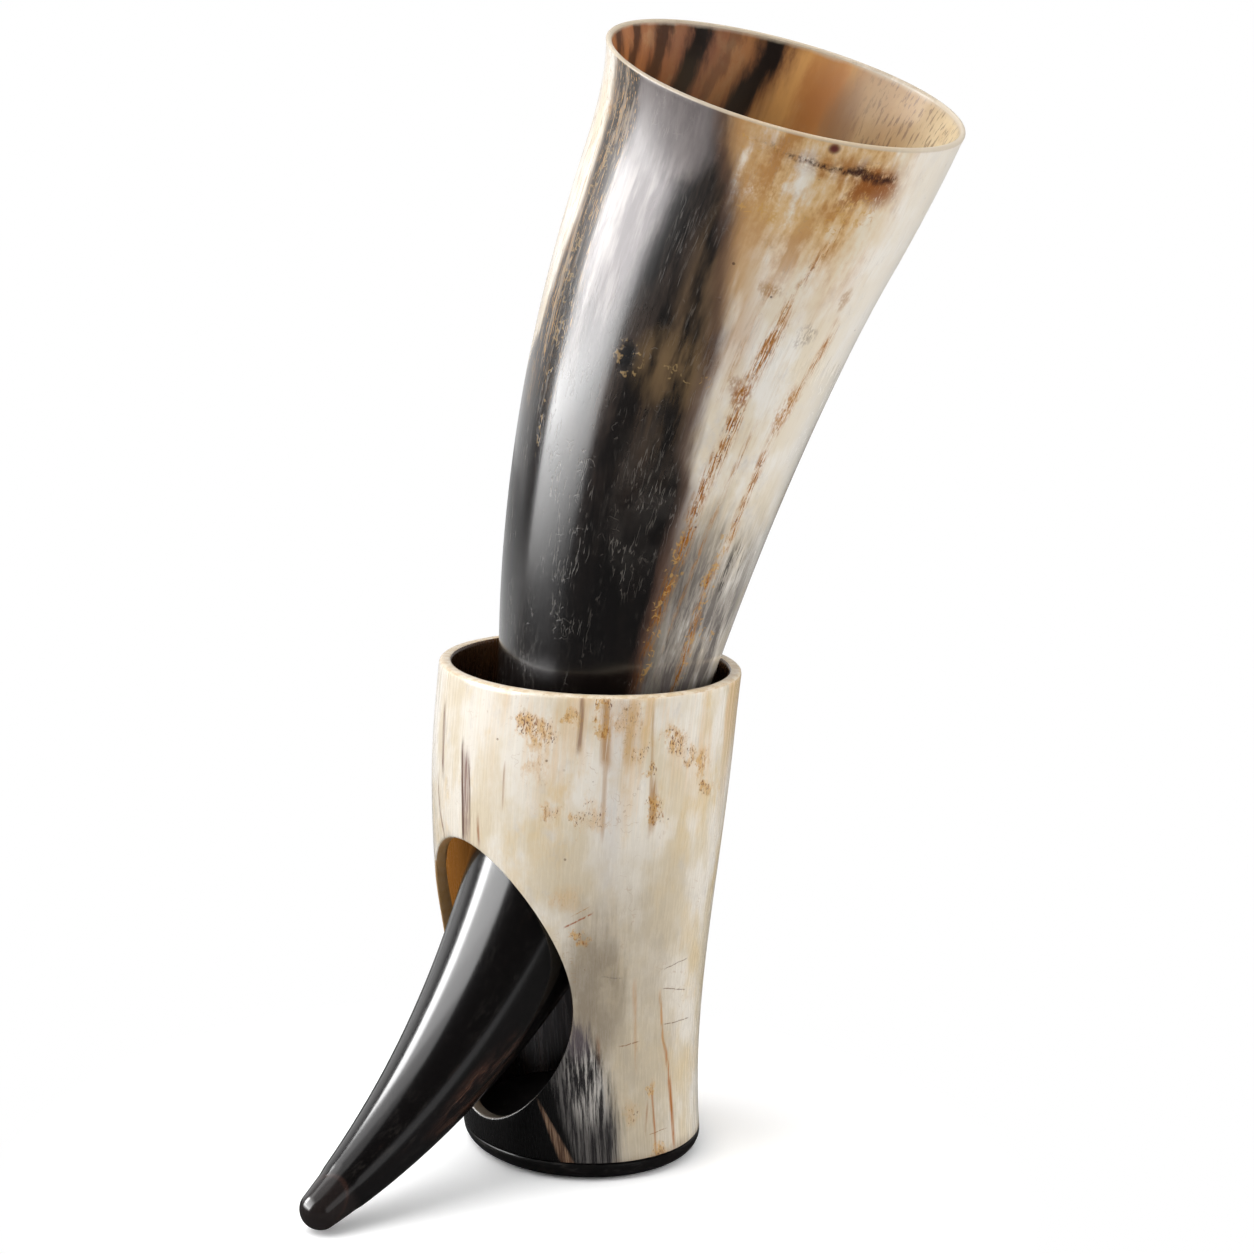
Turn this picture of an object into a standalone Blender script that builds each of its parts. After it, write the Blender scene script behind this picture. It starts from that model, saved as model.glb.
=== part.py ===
"""Drinking horn leaning in a stand that is cut from a wider horn and closed by a black base disc."""
import math

import bmesh
import bpy
import numpy as np
from mathutils import Vector

# Lengths are in metres and angles in radians. +Z is up, the viewer stands on the -Y side and the
# origin is the middle of the underside of the base disc.
CLEARANCE = 0.0003

# Stand sleeve
STAND_HEIGHT = 0.1250
STAND_RIM_RADIUS = 0.0376
STAND_FOOT_RADIUS = 0.0303
STAND_WALL = 0.0032
STAND_SHOULDER = 0.88
STAND_BOW_RADIUS = 0.634
STAND_FOOT_LEAN = math.radians(7.0)
STAND_EDGE_ROUND = 0.0010

# Base disc
BASE_HEIGHT = 0.0047
BASE_EDGE_ROUND = 0.0043
SPIGOT_HEIGHT = 0.0025

# Horn, lower part that stands inside the sleeve and comes out of its window
HORN_AZIMUTH = math.radians(42.0)
HORN_LEAN_AT_RIM = math.radians(10.6)
HORN_LEAN_AT_TIP = math.radians(65.0)
HORN_TIP_RADIUS = 0.0050
HORN_TIP_POINT = 0.0039
HORN_LOWER_SWELL = 0.0008
HORN_RIM_SLACK = 0.0135

# Horn, upper part that stands above the sleeve
HORN_UPPER_LENGTH = 0.1495
HORN_UPPER_TURN = math.radians(24.4)
HORN_UPPER_AZIMUTH = math.radians(135.6)
HORN_UPPER_SWELL = 1.17
MOUTH_RADIUS = 0.0444
MOUTH_FLARE = 0.0038
MOUTH_BLEND = 0.030
MOUTH_LEAN_RIGHT = math.radians(12.0)
MOUTH_LEAN_FRONT = math.radians(14.3)

# Horn, hollow inside
MOUTH_WALL = 0.0030
BORE_BOTTOM_LENGTH = 0.095
BORE_BOTTOM_RADIUS = 0.0100

# Window in the sleeve
WINDOW_TURN = math.radians(12.5)
WINDOW_SHIFT = 0.0043
WINDOW_TOP_GAP = 0.0092
WINDOW_SIDE_GAP = 0.0016
WINDOW_SILL = 0.0070

# Facets
STAND_SIDES = 48
STAND_RINGS = 13
STAND_EDGE_STEPS = 3
HORN_SIDES = 40
UPPER_RINGS = 14
LOWER_RINGS = 13
BORE_RINGS = 17
LIP_STEPS = 6
TIP_STEPS = 5
BASE_SIDES = 64
BASE_EDGE_STEPS = 6
WINDOW_SIDES = 56
LINE_STEPS = 300
PASSAGE_STEPS = 200
WELD_DISTANCE = 1e-6
SHARP_ANGLE = math.radians(40.0)


def stand_bow(height):
    """Sideways place of the sleeve's middle at a height: a shallow arc, as the horn section grew."""
    middle = STAND_BOW_RADIUS * math.sin(STAND_FOOT_LEAN)
    depth = math.sqrt(STAND_BOW_RADIUS**2 - (height - middle) ** 2)
    return STAND_BOW_RADIUS * math.cos(STAND_FOOT_LEAN) - depth


def stand_radius(height):
    """Outer radius of the sleeve at a height."""
    part = min(1.0, max(0.0, height / (STAND_HEIGHT * STAND_SHOULDER)))
    rise = part * part * (3.0 - 2.0 * part)
    return STAND_FOOT_RADIUS + (STAND_RIM_RADIUS - STAND_FOOT_RADIUS) * rise


RIM_INNER_RADIUS = stand_radius(STAND_HEIGHT) - STAND_WALL
SLEEVE_BOTTOM = BASE_HEIGHT + CLEARANCE
SPIGOT_RADIUS = stand_radius(SLEEVE_BOTTOM) - STAND_WALL - CLEARANCE

# The lower horn is an exact arc, so that it can be drawn out of the sleeve along itself.
TIP_SIDE = HORN_TIP_RADIUS * math.sin(HORN_LEAN_AT_TIP)
TIP_END = HORN_TIP_POINT * math.cos(HORN_LEAN_AT_TIP)
TIP_HEIGHT = math.hypot(TIP_SIDE, TIP_END) + CLEARANCE
BEND_RADIUS = (STAND_HEIGHT - TIP_HEIGHT) / (math.sin(HORN_LEAN_AT_TIP) - math.sin(HORN_LEAN_AT_RIM))
LOWER_LENGTH = BEND_RADIUS * (HORN_LEAN_AT_TIP - HORN_LEAN_AT_RIM)
HORN_LENGTH = LOWER_LENGTH + HORN_UPPER_LENGTH

# The horn's girth at the rim follows the rim, and the horn leans on the back of the rim.
HORN_RIM_RADIUS = (RIM_INNER_RADIUS - HORN_RIM_SLACK / 2.0) * math.cos(HORN_LEAN_AT_RIM)
TAPER = (HORN_RIM_RADIUS - HORN_TIP_RADIUS) / LOWER_LENGTH
BACK_REACH = HORN_RIM_RADIUS / (math.cos(HORN_LEAN_AT_RIM) - TAPER * math.sin(HORN_LEAN_AT_RIM))
HORN_SETBACK = RIM_INNER_RADIUS - BACK_REACH - CLEARANCE

UP = Vector((0.0, 0.0, 1.0))
OUTWARD = Vector((math.sin(HORN_AZIMUTH), math.cos(HORN_AZIMUTH), 0.0))
RIM_POINT = Vector((stand_bow(STAND_HEIGHT), 0.0, STAND_HEIGHT)) + OUTWARD * HORN_SETBACK
BEND_CENTRE = (
    RIM_POINT
    - OUTWARD * BEND_RADIUS * math.cos(HORN_LEAN_AT_RIM)
    + UP * BEND_RADIUS * math.sin(HORN_LEAN_AT_RIM)
)


def horn_direction(length):
    """Direction of the horn's middle line at a length from the tip."""
    lean = HORN_LEAN_AT_TIP - min(max(length, 0.0), LOWER_LENGTH) / BEND_RADIUS
    start = OUTWARD * math.sin(lean) + UP * math.cos(lean)
    above = length - LOWER_LENGTH
    if above <= 0.0:
        return start
    side = Vector((math.sin(HORN_UPPER_AZIMUTH), math.cos(HORN_UPPER_AZIMUTH), 0.0))
    side = (side - start * side.dot(start)).normalized()
    turn = HORN_UPPER_TURN * min(1.0, above / HORN_UPPER_LENGTH)
    direction = start * math.cos(turn) + side * math.sin(turn)
    square = Vector((math.tan(MOUTH_LEAN_RIGHT), -math.tan(MOUTH_LEAN_FRONT), 1.0)).normalized()
    blend = max(0.0, 1.0 - (HORN_UPPER_LENGTH - above) / MOUTH_BLEND)
    return direction.lerp(square, min(1.0, blend)).normalized()


def horn_radius(length):
    """Outer radius of the horn at a length from the tip."""
    if length <= LOWER_LENGTH:
        part = max(0.0, length / LOWER_LENGTH)
        girth = HORN_TIP_RADIUS + TAPER * length + 4.0 * HORN_LOWER_SWELL * part * (1.0 - part)
        point = min(1.0, max(0.0, -length / HORN_TIP_POINT))
        return girth * math.sqrt(1.0 - point * point)
    part = (length - LOWER_LENGTH) / HORN_UPPER_LENGTH
    swell = TAPER * HORN_UPPER_SWELL * HORN_UPPER_LENGTH
    settle = MOUTH_RADIUS - MOUTH_FLARE - HORN_RIM_RADIUS - swell
    return HORN_RIM_RADIUS + swell * part + settle * part**2 + MOUTH_FLARE * part**6


def bore_radius(length):
    """Radius of the hollow: a thin wall at the mouth that thickens towards the solid tip."""
    part = (length - BORE_BOTTOM_LENGTH) / (HORN_LENGTH - BORE_BOTTOM_LENGTH)
    thick = horn_radius(BORE_BOTTOM_LENGTH) - BORE_BOTTOM_RADIUS
    return horn_radius(length) - MOUTH_WALL - (thick - MOUTH_WALL) * (1.0 - part) ** 3


def lower_point(length):
    """Place of the horn's middle line on its lower arc."""
    lean = HORN_LEAN_AT_TIP - length / BEND_RADIUS
    return BEND_CENTRE + (OUTWARD * math.cos(lean) - UP * math.sin(lean)) * BEND_RADIUS


def horn_frames():
    """Lengths, places and cross directions all along the horn, without twist."""
    lengths = np.linspace(-HORN_TIP_POINT, HORN_LENGTH, LINE_STEPS + 1)
    step = lengths[1] - lengths[0]
    place = lower_point(0.0) - horn_direction(0.0) * HORN_TIP_POINT
    across = OUTWARD.cross(UP)
    places, acrosses, others = [], [], []
    for length in lengths:
        direction = horn_direction(length)
        across = (across - direction * across.dot(direction)).normalized()
        places.append(place)
        acrosses.append(across)
        others.append(direction.cross(across))
        place = place + horn_direction(length + step / 2.0) * step
    return lengths, np.array(places), np.array(acrosses), np.array(others)


def rounded(centre_r, centre_z, radius, start, end, count):
    """Points of a quarter or half round in a profile, angles measured from the +X side."""
    points = []
    for step in range(count + 1):
        angle = start + (end - start) * step / count
        points.append((centre_r + radius * math.cos(angle), centre_z + radius * math.sin(angle)))
    return points


def new_collection(name):
    group = bpy.data.collections.new(name)
    bpy.context.scene.collection.children.link(group)
    return group


def new_material(name, colour, roughness):
    material = bpy.data.materials.new(name)
    material.use_nodes = True
    shader = material.node_tree.nodes["Principled BSDF"]
    shader.inputs["Base Color"].default_value = (*colour, 1.0)
    shader.inputs["Roughness"].default_value = roughness
    return material


def turned(name, profile, sides, closed, group, material):
    """Object turned about Z from a profile of (radius, height) points that runs down its outer side."""
    mesh = bpy.data.meshes.new(name)
    edges = [(i, i + 1) for i in range(len(profile) - 1)]
    if closed:
        edges.append((len(profile) - 1, 0))
    mesh.from_pydata([(r, 0.0, z) for r, z in profile], edges, [])
    item = bpy.data.objects.new(name, mesh)
    group.objects.link(item)
    screw = item.modifiers.new("turn", "SCREW")
    screw.steps = sides
    screw.render_steps = sides
    screw.use_merge_vertices = True
    screw.merge_threshold = WELD_DISTANCE
    bpy.context.view_layer.update()
    solid = bpy.data.meshes.new_from_object(item.evaluated_get(bpy.context.evaluated_depsgraph_get()))
    item.modifiers.clear()
    item.data = solid
    work = bmesh.new()
    work.from_mesh(solid)
    bmesh.ops.remove_doubles(work, verts=work.verts, dist=WELD_DISTANCE)
    bmesh.ops.recalc_face_normals(work, faces=work.faces)
    work.to_mesh(solid)
    work.free()
    solid.name = name
    solid.shade_smooth()
    solid.set_sharp_from_angle(angle=SHARP_ANGLE)
    solid.materials.clear()
    solid.materials.append(material)
    bpy.data.meshes.remove(mesh)
    return item


def make_drinking_horn(group):
    """Horn: turned straight with its hollow and round lip, then bent along its middle line."""
    lip = MOUTH_WALL / 2.0
    top = HORN_LENGTH - lip
    inner = [(0.0, BORE_BOTTOM_LENGTH)]
    for length in np.linspace(BORE_BOTTOM_LENGTH, top, BORE_RINGS)[:-1]:
        inner.append((bore_radius(length), length))
    round_lip = rounded(MOUTH_RADIUS - lip, top, lip, math.pi, 0.0, LIP_STEPS)
    outer = []
    for length in np.linspace(top, LOWER_LENGTH, UPPER_RINGS)[1:]:
        outer.append((horn_radius(length), length))
    for length in np.linspace(LOWER_LENGTH, 0.0, LOWER_RINGS)[1:]:
        outer.append((horn_radius(length), length))
    for step in range(1, TIP_STEPS):
        length = -HORN_TIP_POINT * math.sin(math.pi / 2.0 * step / TIP_STEPS)
        outer.append((horn_radius(length), length))
    profile = inner + round_lip + outer + [(0.0, -HORN_TIP_POINT)]
    material = new_material("horn_polished", (0.30, 0.24, 0.18), 0.25)
    horn = turned("drinking_horn", profile, HORN_SIDES, False, group, material)
    lengths, places, acrosses, others = horn_frames()
    for vertex in horn.data.vertices:
        x, y, length = vertex.co
        place = [np.interp(length, lengths, places[:, axis]) for axis in range(3)]
        across = [np.interp(length, lengths, acrosses[:, axis]) for axis in range(3)]
        other = [np.interp(length, lengths, others[:, axis]) for axis in range(3)]
        vertex.co = Vector(place) + Vector(across) * x + Vector(other) * y
    horn.data.update()
    return horn


def horn_passage(facing):
    """Points of the horn's surface that lie within the thickness of the sleeve's wall on its facing side."""
    across = OUTWARD.cross(UP)
    points = []
    for length in np.linspace(0.0, LOWER_LENGTH, PASSAGE_STEPS):
        other = horn_direction(length).cross(across)
        for side in range(HORN_SIDES):
            angle = 2.0 * math.pi * side / HORN_SIDES
            spoke = across * math.cos(angle) + other * math.sin(angle)
            point = lower_point(length) + spoke * horn_radius(length)
            depth = stand_radius(point.z) - math.hypot(point.x - stand_bow(point.z), point.y)
            if 0.0 < depth < STAND_WALL and point.dot(facing) > 0.0:
                points.append(point)
    return points


def make_window_cutter(group):
    """Oval cutter for the window, laid round the horn where it passes through the sleeve's wall."""
    azimuth = HORN_AZIMUTH + WINDOW_TURN
    facing = Vector((-math.sin(azimuth), -math.cos(azimuth), 0.0))
    sideways = UP.cross(facing)
    passage = [(point.dot(sideways), point.z) for point in horn_passage(facing)]
    sides = [side for side, height in passage]
    shift = (max(sides) + min(sides)) / 2.0 - WINDOW_SHIFT
    top = max(height for side, height in passage) + WINDOW_TOP_GAP
    bottom = SLEEVE_BOTTOM + WINDOW_SILL
    middle = (top + bottom) / 2.0
    tall = (top - bottom) / 2.0
    wide = WINDOW_SIDE_GAP
    wide += max(abs(u - shift) / math.sqrt(1.0 - ((z - middle) / tall) ** 2) for u, z in passage)
    reach = STAND_RIM_RADIUS * 2.0
    centre = UP * middle + sideways * shift + facing * reach / 2.0
    bpy.ops.mesh.primitive_cylinder_add(vertices=WINDOW_SIDES, radius=1.0, depth=1.0, location=centre)
    cutter = bpy.context.object
    cutter.name = "window_cutter"
    cutter.rotation_euler = (math.pi / 2.0, 0.0, -azimuth)
    cutter.scale = (wide, tall, reach)
    for old in list(cutter.users_collection):
        old.objects.unlink(cutter)
    group.objects.link(cutter)
    cutter.display_type = "WIRE"
    cutter.hide_render = True
    return cutter


def make_stand_sleeve(group, cutter):
    """Sleeve: turned tube with rounded rim, bowed sideways, with the window cut through its wall."""
    edge = STAND_EDGE_ROUND
    rim = stand_radius(STAND_HEIGHT)
    foot = stand_radius(SLEEVE_BOTTOM)
    profile = rounded(rim - edge, STAND_HEIGHT - edge, edge, math.pi / 2.0, 0.0, STAND_EDGE_STEPS)
    heights = np.linspace(STAND_HEIGHT - edge, SLEEVE_BOTTOM, STAND_RINGS)
    for height in heights[1:]:
        profile.append((stand_radius(height), height))
    profile.append((foot - STAND_WALL, SLEEVE_BOTTOM))
    for height in heights[::-1][1:-1]:
        profile.append((stand_radius(height) - STAND_WALL, height))
    inner = rim - STAND_WALL
    profile += rounded(inner + edge, STAND_HEIGHT - edge, edge, math.pi, math.pi / 2.0, STAND_EDGE_STEPS)
    material = new_material("stand_horn", (0.72, 0.62, 0.48), 0.30)
    sleeve = turned("stand_sleeve", profile, STAND_SIDES, True, group, material)
    for vertex in sleeve.data.vertices:
        vertex.co.x += stand_bow(vertex.co.z)
    sleeve.data.update()
    window = sleeve.modifiers.new("window", "BOOLEAN")
    window.operation = "DIFFERENCE"
    window.solver = "EXACT"
    window.object = cutter
    return sleeve


def make_base_disc(group):
    """Disc: closes the foot, with a rounded lower edge and a spigot that fits in the sleeve."""
    foot = stand_radius(SLEEVE_BOTTOM)
    top = BASE_HEIGHT + SPIGOT_HEIGHT
    profile = [(0.0, top), (SPIGOT_RADIUS, top), (SPIGOT_RADIUS, BASE_HEIGHT), (foot, BASE_HEIGHT)]
    edge = BASE_EDGE_ROUND
    profile += rounded(foot - edge, edge, edge, 0.0, -math.pi / 2.0, BASE_EDGE_STEPS)
    profile.append((0.0, 0.0))
    material = new_material("base_black_horn", (0.02, 0.02, 0.02), 0.25)
    disc = turned("base_disc", profile, BASE_SIDES, False, group, material)
    for vertex in disc.data.vertices:
        vertex.co.x += stand_bow(vertex.co.z)
    disc.data.update()
    return disc


def make_lift_axis(group, horn):
    """Empty on the axis about which the horn is drawn out of the sleeve along its own bend."""
    axis = bpy.data.objects.new("horn_lift_axis", None)
    group.objects.link(axis)
    axis.location = BEND_CENTRE
    axis.empty_display_size = 0.02
    bpy.context.view_layer.update()
    horn.parent = axis
    horn.matrix_parent_inverse = axis.matrix_world.inverted()
    return axis


for old in list(bpy.data.objects):
    bpy.data.objects.remove(old, do_unlink=True)

horn_parts = new_collection("drinking_horn_with_stand")
cutters = new_collection("cutters")
window_cutter = make_window_cutter(cutters)
drinking_horn = make_drinking_horn(horn_parts)
make_stand_sleeve(horn_parts, window_cutter)
make_base_disc(horn_parts)
make_lift_axis(horn_parts, drinking_horn)
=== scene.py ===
"""Looks of the drinking horn in its stand: finished shells of polished horn, studio light and camera."""
import math

import bmesh
import bpy
import numpy as np
from mathutils import Matrix, Vector, noise


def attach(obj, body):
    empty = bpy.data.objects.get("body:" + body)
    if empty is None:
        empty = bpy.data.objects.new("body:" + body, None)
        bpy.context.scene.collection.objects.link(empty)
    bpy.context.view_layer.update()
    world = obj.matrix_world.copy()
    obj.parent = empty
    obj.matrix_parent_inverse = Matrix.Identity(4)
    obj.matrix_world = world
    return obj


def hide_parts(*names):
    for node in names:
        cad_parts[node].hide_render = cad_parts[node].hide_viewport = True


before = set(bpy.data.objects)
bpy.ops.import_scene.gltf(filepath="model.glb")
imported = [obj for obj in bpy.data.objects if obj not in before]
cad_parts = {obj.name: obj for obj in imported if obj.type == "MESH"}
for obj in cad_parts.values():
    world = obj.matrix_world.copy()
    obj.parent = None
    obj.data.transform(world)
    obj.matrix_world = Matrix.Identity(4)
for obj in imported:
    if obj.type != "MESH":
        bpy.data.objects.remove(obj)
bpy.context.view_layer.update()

# Lengths are in metres and angles in radians unless a name says otherwise. +Z is up and the
# viewer stands on the -Y side. These sizes are the ones that the plain solids were built from.
CLEARANCE = 0.0003
WELD_DISTANCE = 1e-6

STAND_HEIGHT = 0.1250
STAND_RIM_RADIUS = 0.0376
STAND_FOOT_RADIUS = 0.0303
STAND_WALL = 0.0032
STAND_SHOULDER = 0.88
STAND_BOW_RADIUS = 0.634
STAND_FOOT_LEAN = math.radians(7.0)

BASE_HEIGHT = 0.0047
BASE_EDGE_ROUND = 0.0043
SPIGOT_HEIGHT = 0.0025

HORN_AZIMUTH = math.radians(42.0)
HORN_LEAN_AT_RIM = math.radians(10.6)
HORN_LEAN_AT_TIP = math.radians(65.0)
HORN_TIP_RADIUS = 0.0050
HORN_TIP_POINT = 0.0039
HORN_LOWER_SWELL = 0.0008
HORN_RIM_SLACK = 0.0135

HORN_UPPER_LENGTH = 0.1495
HORN_UPPER_TURN = math.radians(24.4)
HORN_UPPER_AZIMUTH = math.radians(135.6)
HORN_UPPER_SWELL = 1.17
MOUTH_RADIUS = 0.0444
MOUTH_FLARE = 0.0038
MOUTH_BLEND = 0.030
MOUTH_LEAN_RIGHT = math.radians(12.0)
MOUTH_LEAN_FRONT = math.radians(14.3)
MOUTH_WALL = 0.0030
BORE_BOTTOM_LENGTH = 0.095
BORE_BOTTOM_RADIUS = 0.0100

WINDOW_AZIMUTH = HORN_AZIMUTH + math.radians(12.5)
WINDOW_HALF_WIDTH = 0.02459
WINDOW_HALF_HEIGHT = 0.03628
WINDOW_MIDDLE = 0.04828

# Fineness of the finished meshes
HORN_SIDES = 144
BORE_RINGS = 70
UPPER_RINGS = 110
LOWER_RINGS = 90
TIP_RINGS = 12
LIP_STEPS = 10
LINE_STEPS = 300
WINDOW_COLUMNS = 44
BACK_COLUMNS = 96
SILL_ROWS = 5
WINDOW_ROWS = 44
HEAD_ROWS = 24
BASE_SIDES = 128
BASE_EDGE_STEPS = 12
EDGE_STEPS = 3

# Turn from the horn's cross direction to the side that faces the viewer
FRONT_OF_HORN = math.radians(49.5)

# Unevenness of the grown and hand-worked surfaces, the thin lip, the step before the tip, round edges
HORN_SWELL = 0.00022
HORN_SWELL_SIZE = 26.0
STAND_SWELL = 0.00018
STAND_SWELL_SIZE = 30.0
SWELL_STRETCH = 0.6
LIP_WALL = 0.0014
LIP_RUN = 0.014
SEAM_LENGTH = 0.0090
SEAM_STEP = 0.030
SEAM_RUN = 0.0018
RIM_ROUND = 0.0010
WINDOW_ROUND = 0.0007
FOOT_ROUND = 0.00015
EDGE_REACH = 0.001
BASE_TOP_ROUND = 0.0005
BASE_SIDE_ROUND = 0.00015
BASE_ROUND_DROP = 0.0001
SHARP_ANGLE = math.radians(50.0)


def stand_bow(height):
    """Sideways place of the sleeve's middle at a height."""
    middle = STAND_BOW_RADIUS * math.sin(STAND_FOOT_LEAN)
    depth = math.sqrt(STAND_BOW_RADIUS**2 - (height - middle) ** 2)
    return STAND_BOW_RADIUS * math.cos(STAND_FOOT_LEAN) - depth


def stand_radius(height):
    """Outer radius of the sleeve at a height."""
    part = min(1.0, max(0.0, height / (STAND_HEIGHT * STAND_SHOULDER)))
    rise = part * part * (3.0 - 2.0 * part)
    return STAND_FOOT_RADIUS + (STAND_RIM_RADIUS - STAND_FOOT_RADIUS) * rise


RIM_INNER_RADIUS = stand_radius(STAND_HEIGHT) - STAND_WALL
SLEEVE_BOTTOM = BASE_HEIGHT + CLEARANCE
SPIGOT_RADIUS = stand_radius(SLEEVE_BOTTOM) - STAND_WALL - CLEARANCE
TIP_SIDE = HORN_TIP_RADIUS * math.sin(HORN_LEAN_AT_TIP)
TIP_END = HORN_TIP_POINT * math.cos(HORN_LEAN_AT_TIP)
TIP_HEIGHT = math.hypot(TIP_SIDE, TIP_END) + CLEARANCE
BEND_RADIUS = (STAND_HEIGHT - TIP_HEIGHT) / (math.sin(HORN_LEAN_AT_TIP) - math.sin(HORN_LEAN_AT_RIM))
LOWER_LENGTH = BEND_RADIUS * (HORN_LEAN_AT_TIP - HORN_LEAN_AT_RIM)
HORN_LENGTH = LOWER_LENGTH + HORN_UPPER_LENGTH
HORN_RIM_RADIUS = (RIM_INNER_RADIUS - HORN_RIM_SLACK / 2.0) * math.cos(HORN_LEAN_AT_RIM)
TAPER = (HORN_RIM_RADIUS - HORN_TIP_RADIUS) / LOWER_LENGTH
BACK_REACH = HORN_RIM_RADIUS / (math.cos(HORN_LEAN_AT_RIM) - TAPER * math.sin(HORN_LEAN_AT_RIM))
HORN_SETBACK = RIM_INNER_RADIUS - BACK_REACH - CLEARANCE
UP = Vector((0.0, 0.0, 1.0))
OUTWARD = Vector((math.sin(HORN_AZIMUTH), math.cos(HORN_AZIMUTH), 0.0))
RIM_POINT = Vector((stand_bow(STAND_HEIGHT), 0.0, STAND_HEIGHT)) + OUTWARD * HORN_SETBACK
BEND_CENTRE = (
    RIM_POINT
    - OUTWARD * BEND_RADIUS * math.cos(HORN_LEAN_AT_RIM)
    + UP * BEND_RADIUS * math.sin(HORN_LEAN_AT_RIM)
)


def horn_direction(length):
    """Direction of the horn's middle line at a length from the tip."""
    lean = HORN_LEAN_AT_TIP - min(max(length, 0.0), LOWER_LENGTH) / BEND_RADIUS
    start = OUTWARD * math.sin(lean) + UP * math.cos(lean)
    above = length - LOWER_LENGTH
    if above <= 0.0:
        return start
    side = Vector((math.sin(HORN_UPPER_AZIMUTH), math.cos(HORN_UPPER_AZIMUTH), 0.0))
    side = (side - start * side.dot(start)).normalized()
    turn = HORN_UPPER_TURN * min(1.0, above / HORN_UPPER_LENGTH)
    direction = start * math.cos(turn) + side * math.sin(turn)
    square = Vector((math.tan(MOUTH_LEAN_RIGHT), -math.tan(MOUTH_LEAN_FRONT), 1.0)).normalized()
    blend = max(0.0, 1.0 - (HORN_UPPER_LENGTH - above) / MOUTH_BLEND)
    return direction.lerp(square, min(1.0, blend)).normalized()


def horn_radius(length):
    """Outer radius of the horn at a length from the tip."""
    if length <= LOWER_LENGTH:
        part = max(0.0, length / LOWER_LENGTH)
        girth = HORN_TIP_RADIUS + TAPER * length + 4.0 * HORN_LOWER_SWELL * part * (1.0 - part)
        point = min(1.0, max(0.0, -length / HORN_TIP_POINT))
        return girth * math.sqrt(1.0 - point * point)
    part = (length - LOWER_LENGTH) / HORN_UPPER_LENGTH
    swell = TAPER * HORN_UPPER_SWELL * HORN_UPPER_LENGTH
    settle = MOUTH_RADIUS - MOUTH_FLARE - HORN_RIM_RADIUS - swell
    return HORN_RIM_RADIUS + swell * part + settle * part**2 + MOUTH_FLARE * part**6


def bore_radius(length):
    """Radius of the hollow at a length from the tip."""
    part = (length - BORE_BOTTOM_LENGTH) / (HORN_LENGTH - BORE_BOTTOM_LENGTH)
    thick = horn_radius(BORE_BOTTOM_LENGTH) - BORE_BOTTOM_RADIUS
    return horn_radius(length) - MOUTH_WALL - (thick - MOUTH_WALL) * (1.0 - part) ** 3


def horn_frames():
    """Lengths, places and cross directions all along the horn, without twist."""
    lengths = np.linspace(-HORN_TIP_POINT, HORN_LENGTH, LINE_STEPS + 1)
    step = lengths[1] - lengths[0]
    foot = OUTWARD * math.cos(HORN_LEAN_AT_TIP) - UP * math.sin(HORN_LEAN_AT_TIP)
    place = BEND_CENTRE + foot * BEND_RADIUS - horn_direction(0.0) * HORN_TIP_POINT
    across = OUTWARD.cross(UP)
    rows = []
    for length in lengths:
        direction = horn_direction(length)
        across = (across - direction * across.dot(direction)).normalized()
        rows.append((*place, *across, *direction.cross(across)))
        place = place + horn_direction(length + step / 2.0) * step
    return lengths, np.array(rows)


def rounded(centre_r, centre_z, radius, start, end, count):
    """Points of a round stretch in a profile, angles measured from the +X side."""
    points = []
    for step in range(count + 1):
        angle = start + (end - start) * step / count
        points.append((centre_r + radius * math.cos(angle), centre_z + radius * math.sin(angle)))
    return points


def turned(profile, sides):
    """Closed mesh turned about Z from a profile of (radius, height) points."""
    work = bmesh.new()
    corners = [work.verts.new((radius, 0.0, height)) for radius, height in profile]
    edges = [work.edges.new(pair) for pair in zip(corners, corners[1:])]
    bmesh.ops.spin(
        work,
        geom=corners + edges,
        cent=(0.0, 0.0, 0.0),
        axis=(0.0, 0.0, 1.0),
        angle=2.0 * math.pi,
        steps=sides,
        use_merge=True,
    )
    bmesh.ops.remove_doubles(work, verts=work.verts, dist=WELD_DISTANCE)
    bmesh.ops.recalc_face_normals(work, faces=work.faces)
    return work


def unevenness(point, size, amount):
    """How far a grown surface stands out or in at a point."""
    return amount * noise.noise(Vector((point.x * size, point.y * size, point.z * size * SWELL_STRETCH)))


def finished(work, name, finishes, body, node):
    """Piece that rides on a body in place of the plain node, with its finishes in slot order."""
    mesh = bpy.data.meshes.new(name)
    work.to_mesh(mesh)
    work.free()
    mesh.shade_smooth()
    for finish in finishes:
        mesh.materials.append(finish)
    piece = bpy.data.objects.new(name, mesh)
    bpy.context.scene.collection.objects.link(piece)
    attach(piece, body)
    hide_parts(node)
    return piece


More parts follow.
